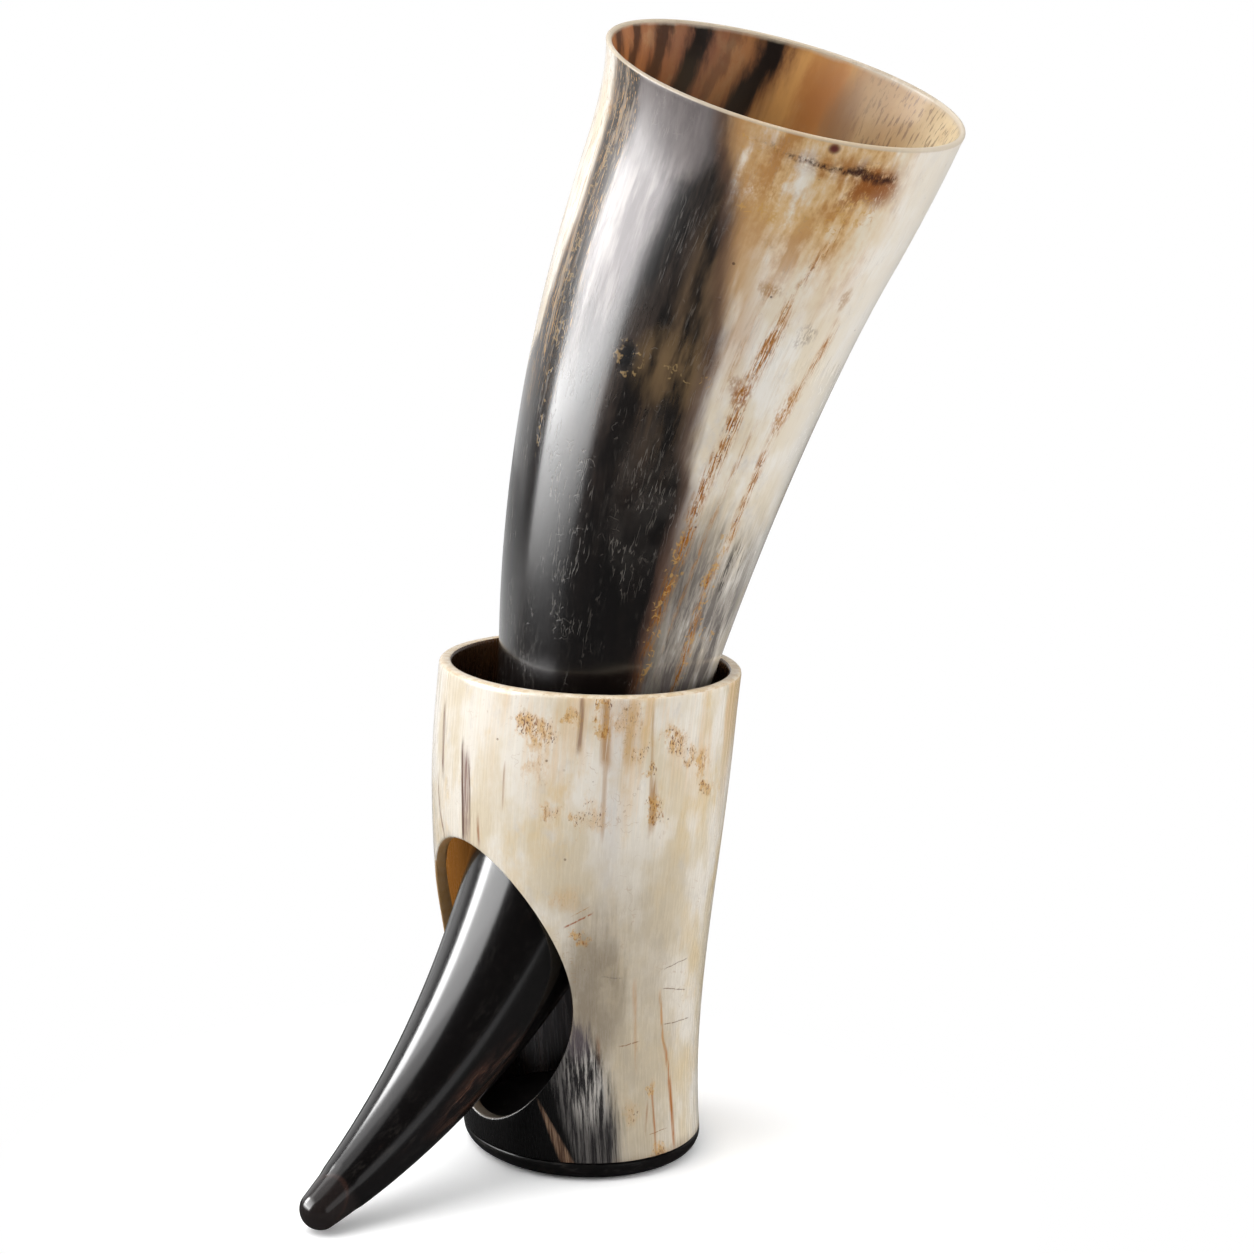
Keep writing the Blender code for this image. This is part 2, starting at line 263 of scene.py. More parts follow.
def make_horn(finishes):
    """Horn with its hollow and lip: turned straight, made uneven, then bent along its middle line."""
    lip = LIP_WALL / 2.0
    top = HORN_LENGTH - lip
    profile = [(0.0, BORE_BOTTOM_LENGTH)]
    for length in np.linspace(BORE_BOTTOM_LENGTH, top, BORE_RINGS)[:-1]:
        near_lip = max(0.0, 1.0 - (top - length) / LIP_RUN)
        profile.append((bore_radius(length) + (MOUTH_WALL - LIP_WALL) * near_lip**2, length))
    profile += rounded(MOUTH_RADIUS - lip, top, lip, math.pi, 0.0, LIP_STEPS)
    for length in np.linspace(top, LOWER_LENGTH, UPPER_RINGS)[1:]:
        profile.append((horn_radius(length), length))
    for length in np.linspace(LOWER_LENGTH, 0.0, LOWER_RINGS)[1:]:
        profile.append((horn_radius(length), length))
    for step in range(1, TIP_RINGS):
        length = -HORN_TIP_POINT * math.sin(math.pi / 2.0 * step / TIP_RINGS)
        profile.append((horn_radius(length), length))
    profile.append((0.0, -HORN_TIP_POINT))
    work = turned(profile, HORN_SIDES)
    for face in work.faces:
        middle = face.calc_center_median()
        reach = math.hypot(middle.x, middle.y)
        hollow = middle.z > BORE_BOTTOM_LENGTH - WELD_DISTANCE
        if hollow and reach < (horn_radius(middle.z) + bore_radius(middle.z)) / 2.0:
            face.material_index = 1
    straight = work.verts.layers.float_vector.new("straight")
    lengths, rows = horn_frames()
    for vertex in work.verts:
        x, y, length = vertex.co
        swell = unevenness(vertex.co, HORN_SWELL_SIZE, HORN_SWELL)
        reach = math.hypot(x, y)
        grow = 1.0 + swell * min(1.0, reach / HORN_RIM_RADIUS) / max(reach, HORN_TIP_RADIUS)
        if length < SEAM_LENGTH:
            grow *= 1.0 - SEAM_STEP * min(1.0, (SEAM_LENGTH - length) / SEAM_RUN)
        turn = math.atan2(y, x) + FRONT_OF_HORN
        vertex[straight] = (reach * math.sin(turn), -reach * math.cos(turn), length)
        row = [np.interp(length, lengths, rows[:, column]) for column in range(9)]
        vertex.co = Vector(row[0:3]) + (Vector(row[3:6]) * x + Vector(row[6:9]) * y) * grow
    return finished(work, "horn", finishes, "horn", "drinking_horn")


def window_sheet(work, wall, finish):
    """One wall of the sleeve, set in by a depth: a sheet with an oval hole, rolled up round the stand."""
    columns = WINDOW_COLUMNS + BACK_COLUMNS
    rows = SILL_ROWS + WINDOW_ROWS + HEAD_ROWS
    sheet = bmesh.ops.create_grid(work, x_segments=columns, y_segments=rows, size=1.0)["verts"]
    faces = set()
    for vertex in sheet:
        faces.update(vertex.link_faces)
    hole = []
    for face in faces:
        face.material_index = finish
        middle = face.calc_center_median()
        row = (middle.y + 1.0) / 2.0 * rows
        if abs(middle.x) * columns < WINDOW_COLUMNS and SILL_ROWS < row < SILL_ROWS + WINDOW_ROWS:
            hole.append(face)
    bmesh.ops.delete(work, geom=hole, context="FACES")
    sheet = [vertex for vertex in sheet if vertex.is_valid]
    facing = Vector((-math.sin(WINDOW_AZIMUTH), -math.cos(WINDOW_AZIMUTH), 0.0))
    sideways = UP.cross(facing)
    sill = (WINDOW_MIDDLE - SLEEVE_BOTTOM) / WINDOW_HALF_HEIGHT
    head = (STAND_HEIGHT - WINDOW_MIDDLE) / WINDOW_HALF_HEIGHT
    straight = work.verts.layers.float_vector["straight"]
    for vertex in sheet:
        across = vertex.co.x * columns / WINDOW_COLUMNS
        row = (vertex.co.y + 1.0) / 2.0 * rows
        if row < SILL_ROWS:
            rise = -sill + (sill - 1.0) * row / SILL_ROWS
        elif row <= SILL_ROWS + WINDOW_ROWS:
            rise = -1.0 + 2.0 * (row - SILL_ROWS) / WINDOW_ROWS
        else:
            rise = 1.0 + (head - 1.0) * (row - SILL_ROWS - WINDOW_ROWS) / HEAD_ROWS
        edge = columns / WINDOW_COLUMNS
        limit = head if rise > 0.0 else sill
        spread = (abs(across) - 1.0) / (edge * 0.5 - 1.0)
        lift = (abs(rise) - 1.0) / (limit - 1.0)
        far = min(1.0, max(spread, lift, 0.0))
        wide = 1.0 + far * (edge * 0.5 - 1.0)
        tall = 1.0 + far * (limit - 1.0)
        square = (across / wide, rise / tall)
        pull = (1.0 - far) * (1.0 / max(math.hypot(*square), 1.0) - 1.0)
        oval_across = across * (1.0 + pull)
        height = WINDOW_MIDDLE + WINDOW_HALF_HEIGHT * rise * (1.0 + pull)
        radius = stand_radius(height) - wall
        bow = stand_bow(height)
        if abs(oval_across) <= 1.0:
            reach = WINDOW_HALF_WIDTH * oval_across - bow * sideways.x
            turn = math.asin(max(-1.0, min(1.0, reach / radius)))
        else:
            start = WINDOW_HALF_WIDTH * math.copysign(1.0, across) - bow * sideways.x
            start = math.asin(max(-1.0, min(1.0, start / radius)))
            rest = (abs(oval_across) - 1.0) / (edge - 1.0)
            turn = start + (math.copysign(math.pi, across) - start) * rest
        spoke = facing * math.cos(turn) + sideways * math.sin(turn)
        place = spoke * radius + UP * height
        vertex[straight] = place
        place = place + spoke * unevenness(place, STAND_SWELL_SIZE, STAND_SWELL)
        vertex.co = place + Vector((bow, 0.0, 0.0))
    bmesh.ops.remove_doubles(work, verts=sheet, dist=WELD_DISTANCE * 10.0)


def make_sleeve(finishes):
    """Sleeve: an outer and an inner wall, joined round the rim, the foot and the window."""
    work = bmesh.new()
    work.verts.layers.float_vector.new("straight")
    window_sheet(work, 0.0, 0)
    outer = list(work.faces)
    window_sheet(work, STAND_WALL, 1)
    inner = [face for face in work.faces if face.material_index == 1]
    bmesh.ops.recalc_face_normals(work, faces=outer)
    bmesh.ops.recalc_face_normals(work, faces=inner)
    bmesh.ops.reverse_faces(work, faces=inner)
    low = SLEEVE_BOTTOM + EDGE_REACH
    high = STAND_HEIGHT - EDGE_REACH
    loops = {"foot": [], "rim": [], "window": []}
    for edge in work.edges:
        if edge.is_boundary:
            height = (edge.verts[0].co.z + edge.verts[1].co.z) / 2.0
            place = "foot" if height < low else "rim" if height > high else "window"
            loops[place].append(edge)
    for edges in loops.values():
        made = bmesh.ops.bridge_loops(work, edges=edges)
        for face in made["faces"]:
            face.material_index = 2
    for place, width in (("rim", RIM_ROUND), ("window", WINDOW_ROUND), ("foot", FOOT_ROUND)):
        bmesh.ops.bevel(
            work,
            geom=loops[place],
            offset=width,
            affect="EDGES",
            segments=EDGE_STEPS,
            profile=0.5,
            material=-1,
            clamp_overlap=True,
        )
    return finished(work, "sleeve", finishes, "stand", "stand_sleeve")


def make_base(finishes):
    """Base disc: closes the foot, with a rounded lower edge and a spigot inside the sleeve."""
    foot = stand_radius(SLEEVE_BOTTOM)
    top = BASE_HEIGHT + SPIGOT_HEIGHT
    edge = BASE_EDGE_ROUND
    profile = [(0.0, top), (SPIGOT_RADIUS * 0.5, top), (SPIGOT_RADIUS, top)]
    profile += [(SPIGOT_RADIUS, BASE_HEIGHT), (foot - BASE_TOP_ROUND, BASE_HEIGHT)]
    profile += [(foot - BASE_SIDE_ROUND, BASE_HEIGHT - BASE_ROUND_DROP)]
    profile += rounded(foot - edge, edge, edge, 0.0, -math.pi / 2.0, BASE_EDGE_STEPS)
    profile += [((foot - edge) * 0.5, 0.0), (0.0, 0.0)]
    work = turned(profile, BASE_SIDES)
    straight = work.verts.layers.float_vector.new("straight")
    for vertex in work.verts:
        vertex[straight] = vertex.co
        vertex.co.x += stand_bow(vertex.co.z)
    piece = finished(work, "base", finishes, "stand", "base_disc")
    piece.data.set_sharp_from_angle(angle=SHARP_ANGLE)
    return piece


HORN_IOR = 1.54
POLISH_IOR = 1.5
POLISH_ROUGHNESS = 0.12


def tone(red, green, blue):
    """Linear colour of a shade that is written in screen values from 0 to 255."""
    linear = []
    for value in (red, green, blue):
        share = value / 255.0
        linear.append(share / 12.92 if share <= 0.04045 else ((share + 0.055) / 1.055) ** 2.4)
    return (*linear, 1.0)


class Value:
    """A number that varies over a surface. Arithmetic on it adds Math nodes to its material."""

    def __init__(self, finish, socket):
        self.finish = finish
        self.socket = socket

    def output(self, name):
        """Another output of the node that this number comes from."""
        return Value(self.finish, self.socket.node.outputs[name])

    def math(self, operation, *others):
        """Result of a Math node that takes this number first."""
        return self.finish.node("ShaderNodeMath", {"operation": operation}, [self, *others])

    def __add__(self, other):
        return self.math("ADD", other)

    def __sub__(self, other):
        return self.math("SUBTRACT", other)

    def __rsub__(self, other):
        return self.finish.node("ShaderNodeMath", {"operation": "SUBTRACT"}, [other, self])

    def __mul__(self, other):
        return self.math("MULTIPLY", other)

    def __truediv__(self, other):
        return self.math("DIVIDE", other)

    def __abs__(self):
        return self.math("ABSOLUTE")

    __radd__ = __add__
    __rmul__ = __mul__


class Finish:
    """A material or the world being made: its nodes, and the patterns that horn is painted with."""

    def __init__(self, owner):
        self.owner = owner
        owner.use_nodes = True
        self.tree = owner.node_tree
        self.tree.nodes.clear()

    def node(self, kind, settings, sockets, output=0):
        """Adds a node, sets it up, then gives its sockets values or links."""
        made = self.tree.nodes.new(kind)
        for name, value in settings.items():
            if name == "stops":
                self.set_stops(made.color_ramp, value)
            else:
                setattr(made, name, value)
        named = sockets.items() if isinstance(sockets, dict) else enumerate(sockets)
        for name, value in named:
            if isinstance(value, Value):
                self.tree.links.new(value.socket, made.inputs[name])
            else:
                made.inputs[name].default_value = value
        return Value(self, made.outputs[output]) if made.outputs else None

    @staticmethod
    def set_stops(ramp, stops):
        """Gives a ramp its (position, level) stops."""
        while len(ramp.elements) < len(stops):
            ramp.elements.new(1.0)
        for element, (position, level) in zip(ramp.elements, stops):
            element.position = position
            element.color = (level, level, level, 1.0)

    def place(self):
        """Turn in degrees from the front and from the back, positive to the right, and height in mm."""
        self.straight = self.node(
            "ShaderNodeAttribute", {"attribute_name": "straight"}, {}, "Vector"
        )
        split = [self.node("ShaderNodeSeparateXYZ", {}, [self.straight], axis) for axis in range(3)]
        x, y, z = split
        self.turn = x.math("ARCTAN2", y * -1.0) * math.degrees(1.0)
        self.back = x.math("ARCTAN2", y) * math.degrees(1.0)
        self.height = z * 1000.0

    def grow(self):
        """Patterns of grown horn, from fine fibres and streaks to clouds, veils, threads and specks."""
        self.fibre = self.noise(1700.0, 26.0, 4.0, 0.6)
        self.streak = self.noise(430.0, 8.0, 4.0, 0.6, 3.1)
        self.cloud = self.noise(80.0, 42.0, 5.0, 0.6, 7.3)
        self.marble = self.noise(130.0, 90.0, 5.0, 0.65, 15.0)
        self.veil = self.noise(150.0, 26.0, 4.0, 0.6, 19.0)
        self.thread = self.noise(2400.0, 16.0, 3.0, 0.6, 17.0)
        self.speck = self.noise(1900.0, 800.0, 2.0, 0.5, 5.0)
        self.grain = self.streak + (self.fibre - 0.5) * 0.7
        self.ripple = (self.streak - 0.5) * 26.0 + (self.cloud - 0.5) * 20.0
        self.sway_turn = self.turn + (self.marble - 0.5) * 14.0
        self.sway_length = self.height + (self.cloud - 0.5) * 12.0

    def noise(self, across, along, detail=3.0, roughness=0.5, seed=0.0):
        """Noise with so many features per metre across the piece and along it."""
        stretched = self.node(
            "ShaderNodeVectorMath",
            {"operation": "MULTIPLY_ADD"},
            [self.straight, (across, across, along), (seed, seed * 1.7, seed * 0.6)],
        )
        return self.node(
            "ShaderNodeTexNoise",
            {},
            {"Vector": stretched, "Scale": 1.0, "Detail": detail, "Roughness": roughness},
        )

    def smooth(self, value, low, high):
        """0 at low, 1 at high, with a smooth step between; low may be the larger."""
        return self.node(
            "ShaderNodeMapRange",
            {"interpolation_type": "SMOOTHSTEP"},
            {"Value": value, "From Min": low, "From Max": high},
        )

    def band(self, value, low, high, soft):
        """1 between low and high, with soft sides."""
        return self.smooth(value, low - soft, low + soft) * self.smooth(value, high + soft, high - soft)

    def spot(self, turn, height, centre, size):
        """1 at the middle of a soft oval spot, 0 outside it."""
        across = (turn - centre[0]) / size[0]
        along = (height - centre[1]) / size[1]
        return self.smooth(across * across + along * along, 1.0, 0.0)

    def trace(self, value, points):
        """Follows a line through (value, level) points."""
        start = points[0][0]
        span = points[-1][0] - start
        low = min(level for place, level in points)
        rise = max(level for place, level in points) - low
        if rise == 0.0:
            return value * 0.0 + low
        stops = [((place - start) / span, (level - low) / rise) for place, level in points]
        return self.node("ShaderNodeValToRGB", {"stops": stops}, [(value - start) / span]) * rise + low

    def hairs(self, across, along, width, seed):
        """Fine wandering lines, broken into short lengths."""
        wander = self.noise(across, along, 1.0, 0.5, seed)
        gaps = self.noise(across * 0.8, along * 0.8, 1.0, 0.5, seed + 3.7)
        return self.smooth(abs(wander - 0.5), width, width * 0.3) * self.smooth(gaps, 0.5, 0.57)

    def pores(self, spacing, size, share, seed):
        """Round dots, so far apart in metres and so wide in spacings, of which a share show."""
        place = self.node("ShaderNodeVectorMath", {"operation": "ADD"}, [self.straight, (seed, seed, seed)])
        cells = self.node("ShaderNodeTexVoronoi", {}, {"Vector": place, "Scale": 1.0 / spacing}, "Distance")
        chance = self.node("ShaderNodeSeparateColor", {}, [cells.output("Color")])
        return self.smooth(cells, size, size * 0.5) * self.smooth(chance, share, share + 0.3)

    def mix(self, share, first, second):
        """Colour between two colours."""
        return self.node("ShaderNodeMix", {"data_type": "RGBA"}, {0: share, 6: first, 7: second}, 2)

    def done(self, colour, roughness, relief, depth, coat, painted_glow=(0.0, 0.0, 0.0, 1.0)):
        """Polished surface of that colour, roughness and fine relief; the glow is painted light, an
        emission that stands in for light coming through or mirrored.
        """
        bump = self.node(
            "ShaderNodeBump", {}, {"Strength": 1.0, "Distance": depth, "Height": relief}
        )
        shader = self.node(
            "ShaderNodeBsdfPrincipled",
            {},
            {
                "Base Color": colour,
                "Roughness": roughness,
                "IOR": HORN_IOR,
                "Normal": bump,
                "Coat Weight": coat,
                "Coat Roughness": POLISH_ROUGHNESS,
                "Coat IOR": POLISH_IOR,
                "Emission Color": painted_glow,
                "Emission Strength": 1.0,
            },
        )
        self.node("ShaderNodeOutputMaterial", {}, {"Surface": shader})
        return self.owner


IVORY = tone(234, 220, 196)
CREAM = tone(245, 239, 229)
PEARL = tone(216, 209, 203)
SAND = tone(208, 182, 144)
HONEY = tone(222, 180, 118)
AMBER = tone(190, 132, 64)
TAN = tone(178, 132, 80)
GOLD = tone(205, 158, 88)
RUST = tone(150, 84, 26)
BROWN = tone(84, 56, 42)
UMBER = tone(52, 38, 30)
SLATE = tone(104, 98, 95)
GREY = tone(156, 147, 137)
SOOT = tone(34, 30, 28)
BLACK = tone(13, 11, 11)

# Edges of the horn's dark front part, as (length from the tip in mm, turn in degrees)
DARK_RIGHT = (
    (140, 18), (164, 18), (178, 19), (208, 18), (215, 14), (226, 12), (240, 11),
    (250, 9), (260, 5), (272, 0), (280, -2.5), (290, -7), (298, -11.5), (309, -14),
)
DARK_LEFT = ((150, -112), (200, -108), (216, -88), (232, -71), (262, -63), (290, -62), (309, -63))
# Brown growth lines on the horn's pale side: (length, turn) points, width in degrees, strength
BROWN_LINES = (
    (
        ((150, 17), (160, 18.5), (178, 20.5), (190, 23), (207, 23.5), (223, 26.5), (235, 25.5), (257, 29)),
        3.2,
        1.0,
    ),
    (
        ((150, 40), (166, 41.5), (184, 41), (196, 45), (215, 46), (233, 47), (242, 51), (256, 53)),
        2.4,
        0.85,
    ),
    (((248, 26.5), (259, 28), (264, 28), (276, 31), (284, 33)), 1.8, 0.9),
    (((160, 27), (180, 30), (214, 34), (228, 36)), 1.2, 0.4),
    (((232, 17), (246, 18.5), (268, 20)), 1.6, 0.35),
)
# Tan and rusty stains on the horn: middle as (turn, length), size, strength, colour
HORN_STAINS = (
    ((39, 296.5), (13, 6), 0.9, RUST),
    ((31, 292.5), (6, 5), 0.6, RUST),
    ((1, 288), (10, 9), 0.7, AMBER),
    ((12, 283), (20, 6), 0.5, HONEY),
    ((20, 264), (5, 3), 0.75, TAN),
    ((50.5, 266.5), (4, 5), 0.6, TAN),
    ((40.5, 254.5), (6, 4), 0.6, tone(150, 126, 104)),
    ((47, 234), (6, 8), 0.75, AMBER),
    ((25.5, 235), (4, 7), 0.85, RUST),
    ((21, 237), (3, 3), 0.5, RUST),
    ((-3, 235), (14, 7), 0.5, tone(116, 92, 56)),
    ((-62, 288), (4, 6), 0.9, tone(184, 138, 84)),
)
# Scar under the lip: its line as (turn, length) points, and its weight as (turn, share) points
SCAR_LINE = ((-14, 303.5), (2, 301), (17, 300), (48, 300))
SCAR_WEIGHT = ((-12, 0.0), (0, 0.3), (14, 0.6), (24, 0.7), (30, 1.0), (42, 0.9), (48, 0.0))
# Clusters of golden hairs on the horn: middle as (turn, length), size, strength
HORN_HAIRS = (
    ((5, 282), (9, 3), 1.0),
    ((27, 284.5), (12, 3.5), 1.0),
    ((36, 290), (12, 6), 0.6),
    ((-2, 301), (8, 3), 1.0),
    ((-19, 234.5), (7, 6), 1.0),
    ((-3, 234.5), (7, 3), 1.0),
    ((10.5, 237), (4, 2.5), 0.8),
    ((-63, 287), (4, 7), 1.0),
    ((-57, 262), (5, 45), 0.8),
    ((-53, 226), (3.5, 34), 0.45),
    ((53, 171), (8, 3), 1.0),
    ((21, 178), (5, 30), 0.8),
    ((42, 178), (6, 28), 0.8),
)


def pale_side(finish):
    """Ivory and cream clouds with sandy fibres, honey and amber towards the lip, grey low down."""
    turn, length = finish.turn, finish.height
    colour = finish.mix(finish.smooth(finish.cloud, 0.38, 0.60), IVORY, CREAM)
    colour = finish.mix(finish.smooth(finish.marble, 0.52, 0.70) * 0.5, colour, PEARL)
    colour = finish.mix(finish.smooth(finish.grain, 0.52, 0.76) * 0.25, colour, SAND)
    high = finish.smooth(length + finish.ripple * 0.6, 252.0, 290.0)
    high = high * finish.band(turn, -16.0, 46.0, 14.0)
    mottle = finish.veil + (finish.marble - 0.5) * 0.7
    colour = finish.mix(high * finish.smooth(mottle, 0.30, 0.52) * 0.9, colour, HONEY)
    colour = finish.mix(high * finish.smooth(mottle, 0.47, 0.63) * 0.9, colour, AMBER)
    low = finish.smooth(length + finish.ripple, 214.0, 176.0) * finish.band(turn, 10.0, 72.0, 10.0)
    misty = finish.smooth(finish.veil + (finish.grain - 0.5) * 0.5, 0.25, 0.5)
    colour = finish.mix(low * misty * 0.85, colour, GREY)
    smoky = finish.smooth(finish.veil + (finish.grain - 0.5) * 0.8, 0.46, 0.66)
    colour = finish.mix(low * smoky * 0.8, colour, SLATE)
    shaded = finish.smooth(turn + finish.ripple * 0.3, 42.0, 18.0)
    colour = finish.mix(low * shaded * 0.8, colour, tone(80, 73, 69))
    wisp = finish.spot(turn, length, (53.5, 188.0), (8.0, 10.0)) * finish.smooth(finish.grain, 0.45, 0.55)
    colour = finish.mix(wisp * 0.85, colour, SOOT)
    # Right-hand side painted creamier: partly the horn's own paler cream, partly painted light standing in
    # for light from the right and behind.
    cream_and_painted_light_right = finish.band(turn, 54.0, 140.0, 14.0) * finish.smooth(length + finish.ripple, 196.0, 224.0)
    colour = finish.mix(cream_and_painted_light_right * 0.6, colour, CREAM)
    threads = finish.band(turn, -105.0, -60.0, 8.0) * finish.smooth(finish.thread, 0.54, 0.64)
    return finish.mix(threads * 0.7, colour, tone(172, 130, 84))


def back_side(finish, colour):
    """Broad grey and brown streaks along the back of the horn, and painted shade on its back-left."""
    behind = finish.smooth(abs(finish.turn), 90.0, 122.0)
    # Painted shade: the back-left is painted a darker tan to tone down the strong light from the left
    # there.
    painted_shade_far_left = finish.smooth(finish.turn, -76.0, -96.0) * finish.smooth(finish.turn, -178.0, -130.0)
    colour = finish.mix(painted_shade_far_left * 0.8, colour, tone(186, 168, 142))
    broad = finish.noise(40.0, 5.0, 3.0, 0.5, 11.0) + (finish.grain - 0.5) * 0.4
    for level, shade in ((0.44, GREY), (0.53, tone(104, 84, 68)), (0.60, SOOT)):
        colour = finish.mix(behind * finish.smooth(broad, level, level + 0.14), colour, shade)
    return colour


def growth_lines(finish, colour):
    """Stains, then brown growth lines: a tan wash, parallel rusty fibres and dark specks."""
    turn, length = finish.turn, finish.height
    flecked = finish.smooth(finish.speck + finish.marble - 0.5, 0.3, 0.6)
    for centre, size, strength, shade in HORN_STAINS:
        near = finish.spot(finish.sway_turn, finish.sway_length, centre, size) * strength
        colour = finish.mix(near * flecked, colour, shade)
    along = length + (finish.cloud - 0.5) * 30.0
    broken = finish.smooth(finish.marble + (finish.veil - 0.5) * 0.6, 0.30, 0.56)
    wash = finish.smooth(finish.thread, 0.36, 0.60)
    for points, width, strength in BROWN_LINES:
        side = abs(turn - finish.trace(length, points) + (finish.streak - 0.5) * 3.0) / width
        near = finish.smooth(side, 1.6, 0.0) * finish.band(along, points[0][0], points[-1][0], 7.0)
        near = near * broken * strength
        colour = finish.mix(near * wash * 0.9, colour, tone(198, 138, 56))
        fibres = finish.smooth(finish.thread + near * 0.10, 0.57, 0.65)
        colour = finish.mix(fibres * near * 0.85, colour, tone(164, 98, 32))
        specks = finish.smooth(finish.speck + near * 0.08, 0.64, 0.70)
        colour = finish.mix(specks * near * 0.7, colour, tone(112, 64, 26))
    return colour


def dark_front(finish, colour):
    """Dark band in front: golden on its right, near black inside, pale and streaked high on its left,
    partly as painted highlight.
    """
    turn, length, ripple = finish.turn, finish.height, finish.ripple
    right = finish.trace(length, DARK_RIGHT) + ripple * 0.25
    left = finish.trace(length, DARK_LEFT) + ripple * 0.3
    within = finish.smooth(turn, left - 4.0, left + 4.0)
    halo = finish.smooth(turn, right + 17.0, right + 2.0) * finish.smooth(finish.veil, 0.28, 0.50)
    halo = halo * finish.smooth(length + ripple, 222.0, 262.0)
    colour = finish.mix(halo * within * 0.85, colour, tone(194, 148, 92))
    edging = finish.smooth(turn, right + 6.0, right - 3.0) * within
    colour = finish.mix(edging * 0.9, colour, tone(96, 66, 52))
    dark = finish.smooth(turn, right + 2.0, right - 7.0) * within
    veiled = finish.smooth(finish.veil + (finish.fibre - 0.5) * 0.4, 0.40, 0.70)
    core = finish.mix(veiled, tone(24, 20, 18), tone(58, 47, 40))
    olive = finish.smooth(turn + ripple * 0.2, -12.0, -2.0) * finish.smooth(length + ripple, 205.0, 245.0)
    core = finish.mix(olive * finish.smooth(finish.veil, 0.36, 0.60), core, tone(108, 86, 62))
    bronze = finish.spot(finish.sway_turn, finish.sway_length, (-3.0, 236.0), (18.0, 13.0))
    core = finish.mix(bronze * finish.smooth(finish.veil, 0.30, 0.55) * 0.8, core, tone(122, 98, 68))
    # Pale streaked horn high on the left under the highlight: partly the horn's own colour, partly painted
    # highlight, painted lighter to add to the reflection and darker near the lip where the reflection is
    # bright.
    soft = finish.veil + (finish.streak - 0.5) * 0.6 + (finish.fibre - 0.5) * 0.15
    pale = finish.mix(finish.smooth(soft, 0.34, 0.66), tone(122, 114, 115), tone(182, 174, 171))
    pale = finish.mix(finish.smooth(length + ripple * 0.4, 272.0, 292.0) * 0.8, pale, tone(106, 98, 97))
    edge = finish.trace(length, ((210, -30), (240, -28), (262, -25), (280, -22), (292, -15)))
    painted_sheen = finish.smooth(turn + ripple * 0.3 - edge, 4.0, -6.0)
    painted_sheen = painted_sheen * finish.smooth(length + ripple * 0.9, 222.0, 260.0)
    core = finish.mix(painted_sheen, core, pale)
    strands = finish.mix(finish.smooth(finish.grain, 0.50, 0.68), tone(54, 47, 43), tone(142, 126, 108))
    strands = finish.mix(finish.smooth(finish.thread, 0.57, 0.64), strands, tone(190, 146, 88))
    strip = finish.smooth(turn + ripple * 0.3, -45.0, -50.0)
    strip = strip * finish.smooth(length + ripple, 206.0, 236.0)
    core = finish.mix(strip, core, strands)
    groove = finish.band(turn + ripple * 0.15, -57.0, -50.0, 2.0)
    groove = groove * finish.band(length + ripple, 196.0, 262.0, 10.0)
    core = finish.mix(groove * 0.8, core, tone(44, 39, 37))
    core = finish.mix(finish.smooth(length + ripple * 0.6, 232.0, 184.0) * 0.85, core, BLACK)
    return finish.mix(dark, colour, core), dark


def black_tip(finish, colour):
    """Black towards the tip all round, with brown streaks below and a reddish seam before the end."""
    turn, length = finish.turn, finish.height
    tip = finish.smooth(length + finish.ripple * 0.8, 168.0, 130.0)
    black = finish.mix(finish.smooth(finish.grain, 0.62, 0.8) * 0.5, BLACK, tone(40, 30, 26))
    under = finish.spot(turn, length, (58.0, 46.0), (26.0, 20.0))
    under = under * finish.smooth(finish.grain, 0.42, 0.62)
    black = finish.mix(under * 0.7, black, tone(84, 56, 44))
    seam = abs(length - 7.4 + (turn + 10.0) * (turn + 10.0) * 0.0010)
    black = finish.mix(finish.smooth(length, 8.6, 6.2) * 0.4, black, tone(50, 42, 40))
    black = finish.mix(finish.smooth(seam, 0.9, 0.1) * 0.22, black, tone(90, 60, 50))
    return finish.mix(tip, colour, black), tip, seam


